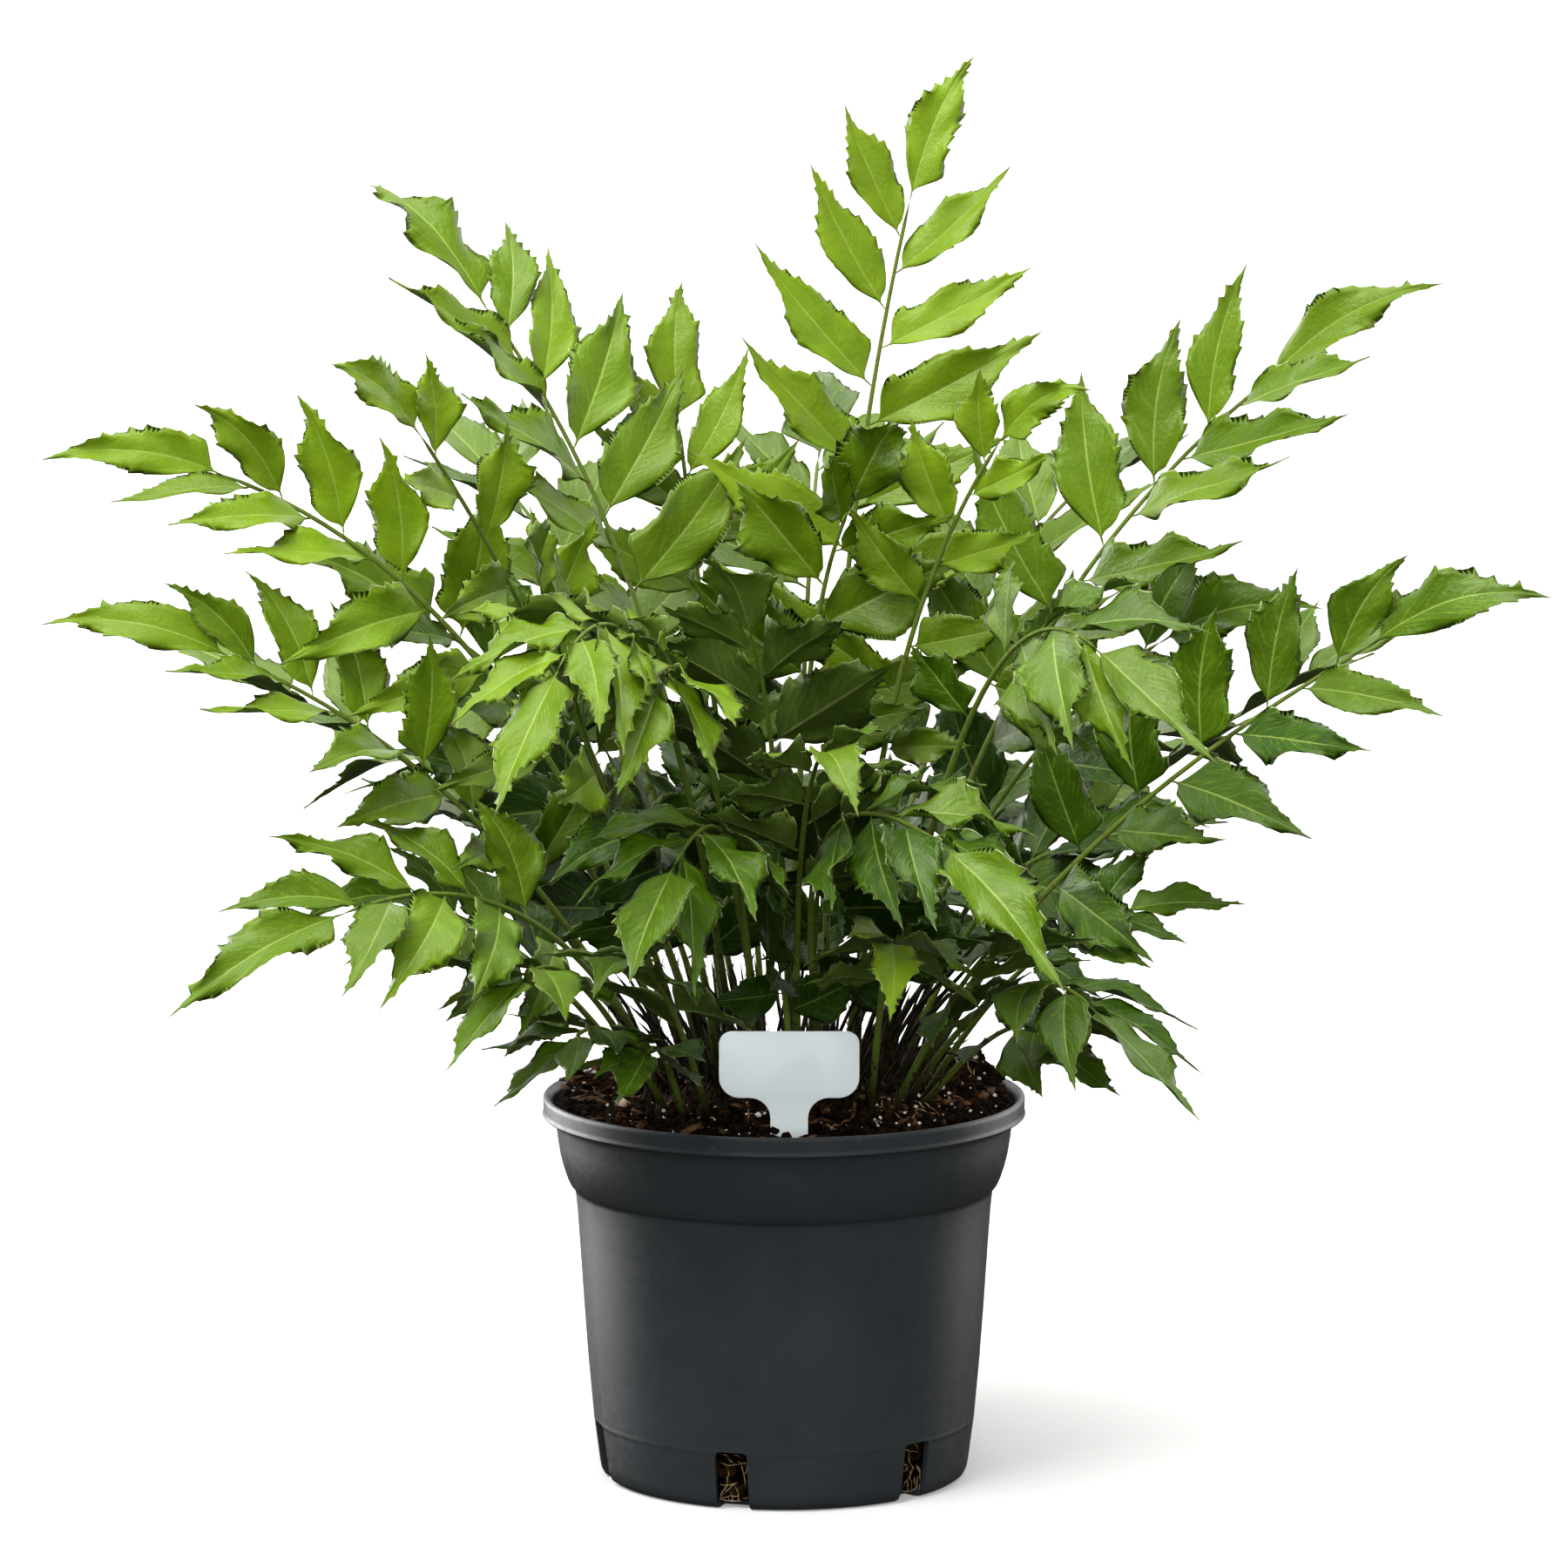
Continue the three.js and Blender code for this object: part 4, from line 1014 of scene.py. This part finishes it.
def addStemScales(bm, row, style):
    placeDraw, angleDraw, lengthDraw, wayDraw = 200, 300, 400, 500
    seed = row["seed"]
    for k in range(style["scales"]):
        t = style["scaleReach"] * share(seed, placeDraw + k) ** style["scaleCrowding"] + style["scaleStart"]
        point, along, up, side = stemFrame(row, t)
        angle = math.pi * chance(seed, angleDraw + k)
        out = math.cos(angle) * up + math.sin(angle) * side
        length = between(style["scaleLength"], share(seed, lengthDraw + k) * (1 - style["scaleShrink"] * t))
        way = 1 if chance(seed, wayDraw + k) > style["scaleTurned"] else -1
        addScale(bm, point + style["radius"][0] * style["scaleSink"] * out,
                 (way * along + style["scaleLift"] * out).normalized(), out, length, style["scaleWidth"],
                 style["scaleMaterial"])


# Blades: cuticle over green tissue, so a soft gloss over a saturated yellow-green, with paler veins and rib,
# a paler margin that is a painted highlight where the edge catches light, and a dry tip. The under face is
# duller and greyer.
upperSkin = {
    "fresh": "8aa81c", "old": "1e4200", "mottle": "426a04", "vein": "7aa024", "rib": "a0b558",
    "margin": "c6d494", "dry": "8c8a5c", "gloss": (0.33, 0.49), "specular": 0.45, "sheen": "f0f5d8",
    "bump": 0.6,
}
lowerSkin = {
    "fresh": "778f38", "old": "2f4412", "mottle": "5b7428", "vein": "728a40", "rib": "9caa64",
    "margin": "aec078", "dry": "8c8a5c", "gloss": (0.43, 0.59), "specular": 0.25, "sheen": "f0f5d4",
    "bump": 0.5,
}
skinStyle = {
    "glow": 0.02, "glowDepth": 1.2, "cloudSize": 11.76, "leafletLength": 67.2, "veinSpacing": 1.6,
    "veinSlope": -0.62,  # makes the veins leave the rib at about 35 degrees
    "veinStretch": (1.0, 40.0, 0.12),
    "poreSize": 1.923,  # real pores are far finer, and wouldn't show
}


def leafSkin(name, skin, style):
    # a leaflet's tone holds its age, its brightness, which carries painted shade in the middle of the plant,
    # and a number that sets its veins apart
    material, tree = newMaterial(name, {
        "IOR": 1.45, "Specular IOR Level": skin["specular"], "Specular Tint": linearColour(skin["sheen"]),
        "Subsurface Weight": style["glow"], "Subsurface Scale": style["glowDepth"] * millimetre,
        "Subsurface Radius": (0.5, 1.0, 0.12)})
    uv = addNode(tree, "ShaderNodeUVMap", uv_map="leafPlan").outputs["UV"]
    place = addNode(tree, "ShaderNodeTexCoord").outputs["Object"]
    tone = addNode(tree, "ShaderNodeAttribute", attribute_name="leafTone", attribute_type="GEOMETRY")
    toneParts = addNode(tree, "ShaderNodeSeparateXYZ", {}, {"Vector": tone.outputs["Vector"]})
    age, brightness, own = toneParts.outputs
    plan = addNode(tree, "ShaderNodeSeparateXYZ", {}, {"Vector": uv})
    across = addNode(tree, "ShaderNodeMath", {1: 0.5}, {0: plan.outputs["Y"]}, operation="SUBTRACT")
    spread = addNode(tree, "ShaderNodeMath", {}, {0: across.outputs["Value"]}, operation="ABSOLUTE")
    run = addNode(tree, "ShaderNodeMath", {1: style["veinSlope"]},
                  {0: spread.outputs["Value"], 2: plan.outputs["X"]}, operation="MULTIPLY_ADD")
    veinPlace = addNode(tree, "ShaderNodeCombineXYZ", {}, {
        "X": run.outputs["Value"], "Y": own, "Z": across.outputs["Value"]})
    stretched = addNode(tree, "ShaderNodeMapping", {"Scale": style["veinStretch"]},
                        {"Vector": veinPlace.outputs["Vector"]})
    vein = addNode(tree, "ShaderNodeTexNoise", {
        "Scale": style["leafletLength"] / style["veinSpacing"], "Detail": 2.0},
        {"Vector": stretched.outputs["Vector"]})
    cloud = addNode(tree, "ShaderNodeTexNoise", {
        "Scale": patternScale(style["cloudSize"]), "Detail": 4.0, "Roughness": 0.6}, {"Vector": place})
    colour = layColour(tree, age, (0, 1), (0, 1), skin["fresh"], skin["old"])
    for source, span, strength, over in (
            (cloud.outputs["Fac"], (0.3, 0.7), (0, 0.3), "mottle"),
            (vein.outputs["Fac"], (0.52, 0.68), (0, 0.35), "vein"),
            (spread.outputs["Value"], (0.006, 0.02), (0.6, 0), "rib"),
            # the paler margin is a painted highlight, where the edge catches light
            (spread.outputs["Value"], (0.478, 0.494), (0, 0.85), "margin"),
            (plan.outputs["X"], (0.93, 1), (0, 0.8), "dry")):
        colour = layColour(tree, source, span, strength, colour, skin[over])
    shade = addNode(tree, "ShaderNodeHueSaturation", {}, {"Value": brightness, "Color": colour})
    pore = addNode(tree, "ShaderNodeTexNoise", {"Scale": patternScale(style["poreSize"]), "Detail": 3.0},
                   {"Vector": place})
    height = addNode(tree, "ShaderNodeMath", {1: 0.6}, {0: vein.outputs["Fac"], 2: pore.outputs["Fac"]},
                     operation="MULTIPLY_ADD")
    gloss = addNode(tree, "ShaderNodeMapRange", {
        "From Min": 0.3, "From Max": 0.7, "To Min": skin["gloss"][0], "To Max": skin["gloss"][1]},
        {"Value": cloud.outputs["Fac"]})
    return dressSurface(material, shade.outputs["Color"], height.outputs["Value"], skin["bump"], 0.6,
                        gloss.outputs["Result"])


def stalkSkin(style):
    # fern stalk: pale green with brown flecks and a soft gloss, dark brown towards its foot
    material, tree = newMaterial("greenStalk", {
        "Roughness": 0.45, "IOR": 1.45, "Specular IOR Level": 0.3,
        "Specular Tint": linearColour(style["sheen"])})
    uv = addNode(tree, "ShaderNodeUVMap", uv_map="leafPlan").outputs["UV"]
    place = addNode(tree, "ShaderNodeTexCoord").outputs["Object"]
    plan = addNode(tree, "ShaderNodeSeparateXYZ", {}, {"Vector": uv})
    fleck = addNode(tree, "ShaderNodeTexNoise", {"Scale": patternScale(style["fleckSize"]), "Detail": 4.0},
                    {"Vector": place})
    colour = layColour(tree, plan.outputs["X"], style["greening"], (0, 1), style["dark"], style["green"])
    colour = layColour(tree, fleck.outputs["Fac"], (0.58, 0.66), (0, 0.55), colour, style["fleck"])
    return dressSurface(material, colour, fleck.outputs["Fac"], 0.4, 0.4)


# Leaflets differ a little in age and brightness. Those in the middle of the plant are deeper green, as leaves
# that grow in shade are, and darker, which is painted shade: [where the shade starts to end, where it has
# ended], out from the middle and up.
toneStyle = {"shadeReach": (60, 150), "shadeHeight": (300, 400), "ageRoll": 0.15, "ageShade": 0.3,
             "brightRoll": 0.14, "paintedShade": 0.5}


def leafTone(row, leaf, rib, style):
    x, y, z = leaf["point"] + 0.5 * leaf["length"] * rib
    shaded = 1 - smoothStep(*style["shadeReach"], math.hypot(x, y))
    shaded *= 1 - smoothStep(*style["shadeHeight"], z)
    seed = leaf["seed"]
    age = row["age"] + style["ageRoll"] * chance(seed, 61) + style["ageShade"] * shaded
    # darker in the middle of the plant: painted shade, where shadow falls among the fronds
    brightness = (1 + style["brightRoll"] * chance(seed, 62)) * (1 - style["paintedShade"] * shaded)
    return Vector((min(1.0, max(0.0, age)), brightness, share(seed, 63)))


def makeFrond(row, materials):
    bm = bmesh.new()
    layers = bm.loops.layers.uv.new("leafPlan"), bm.verts.layers.float_vector.new("leafTone")
    corners = solidCorners("frond_" + row["name"])
    placed = 0
    for leaf in leafletRows(row):
        settled = settleLeaflet(leaf, corners)
        if settled:
            addLeaflet(bm, settled, leafletStyle, layers, leafTone(row, leaf, settled["rib"], toneStyle))
            placed += 1
    addStem(bm, row, stemStyle, layers, Vector((row["age"], 1, 0)))
    closeSeams(bm, 0.002)
    addStemScales(bm, row, stemStyle)
    makePiece("leafy_" + row["name"], bm, materials, ["frond_" + row["name"]])
    return placed


leafMaterials = [
    leafSkin("fernBladeUpper", upperSkin, skinStyle), leafSkin("fernBladeUnder", lowerSkin, skinStyle),
    stalkSkin(stemStyle), mottled(*stemStyle["scaleStuff"]),
]
leafletTotal = sum(makeFrond(readFrond(*rowWords), leafMaterials) for rowWords in frondRows)
print("fronds ready:", len(frondRows), "with", leafletTotal, "leaflets")


# Crown: the short rhizome, a dark woody clump under brown scales.
crownStyle = {
    "radius": 57, "lobe": 4, "lobes": 5, "forward": -6, "shoulder": 152, "top": 163, "inset": 2, "sink": 1.5,
    "topGap": 0.3, "knots": [(2.2, 9, (0, 0, 0)), (1.1, 3, (0, 0, 0))], "knotReach": 55, "knotOut": 0.6,
    "scales": 620, "scaleLength": 3, "scaleRoll": 1.8, "scaleWidth": 1.3, "scaleLean": 0.5,
    "stuffs": [
        ("rhizomeBark", "0a0704", "1e140c", 4.55, 0.9),  # nearly black, matt
        ("rhizomeScale", "160e08", "432c18", 2.0, 0.75),  # dark brown, dry
    ],
}


def makeCrown(style):
    bm = bmesh.new()
    rise = style["top"] - style["shoulder"]
    for vert in bmesh.ops.create_icosphere(bm, subdivisions=6, radius=1)["verts"]:
        x, y, z = vert.co
        knot = noiseSum(style["knots"], Vector((x, y, z)) * style["knotReach"])
        reach = style["radius"] + style["lobe"] * math.cos(style["lobes"] * math.atan2(y, x))
        reach += style["knotOut"] * knot - style["inset"]
        height = min(style["top"] - style["topGap"], style["shoulder"] + rise * z + knot - style["sink"])
        vert.co = Vector((x * reach, y * reach + style["forward"], height))
    for k in range(style["scales"]):
        turn, part = math.pi * chance(71, k), math.sqrt(share(72, k))
        out = part * Vector((math.cos(turn), math.sin(turn), 0))
        height = style["shoulder"] + rise * math.sqrt(max(0, 1 - part * part)) - style["sink"]
        foot = style["radius"] * out + Vector((0, style["forward"], height))
        along = Vector((chance(73, k), chance(74, k), 0.35 + 0.3 * chance(75, k))).normalized()
        length = style["scaleLength"] + style["scaleRoll"] * chance(76, k)
        addScale(bm, foot, along, (style["scaleLean"] * out + upright).normalized(), length,
                 style["scaleWidth"], 1)
    makePiece("scalyCrown", bm, [mottled(*words) for words in style["stuffs"]], ["fern_crown"])


makeCrown(crownStyle)
print("crown ready")


# Old stalks: what is left of earlier years' fronds, dry and dark, broken off short among the stems.
oldStalkStyle = {
    "count": 150, "tall": (12, 66), "radius": (0.7, 1.5), "sides": 6, "reach": (12, 53), "forward": -6,
    "foot": 152, "joints": (0, 0.3, 0.6, 0.85, 1), "lean": 0.12, "leanOutwards": 0.42, "leanRoll": 0.25,
    "sideways": 0.25, "clearOfLabel": -71,
    # their near-black colour is partly dry stalk and partly painted shade, for the shadow among the stems
    "stuff": ("dryStalkPaintedShade", "0e0b05", "2c2612", 3.125, 0.75),  # woody and dull, nearly black in the shade
}


def makeOldStalks(style):
    bm = bmesh.new()
    for k in range(style["count"]):
        turn, part = math.pi * chance(81, k), math.sqrt(share(82, k))
        out = Vector((math.cos(turn), math.sin(turn), 0))
        foot = between(style["reach"], part) * out + Vector((0, style["forward"], style["foot"]))
        tall = between(style["tall"], share(83, k))
        lean = style["lean"] + style["leanOutwards"] * part + style["leanRoll"] * chance(84, k)
        side = Vector((-out.y, out.x, 0)) * style["sideways"] * chance(86, k)
        points = [foot + tall * step * (upright + lean * step * out + side) for step in style["joints"]]
        if min(point.y for point in points) > style["clearOfLabel"]:
            addStick(bm, points, between(style["radius"], share(85, k)), style["sides"], 0)
    closeSeams(bm)
    makePiece("oldStalks", bm, [mottled(*style["stuff"])], [])


makeOldStalks(oldStalkStyle)
print("old stalks ready")
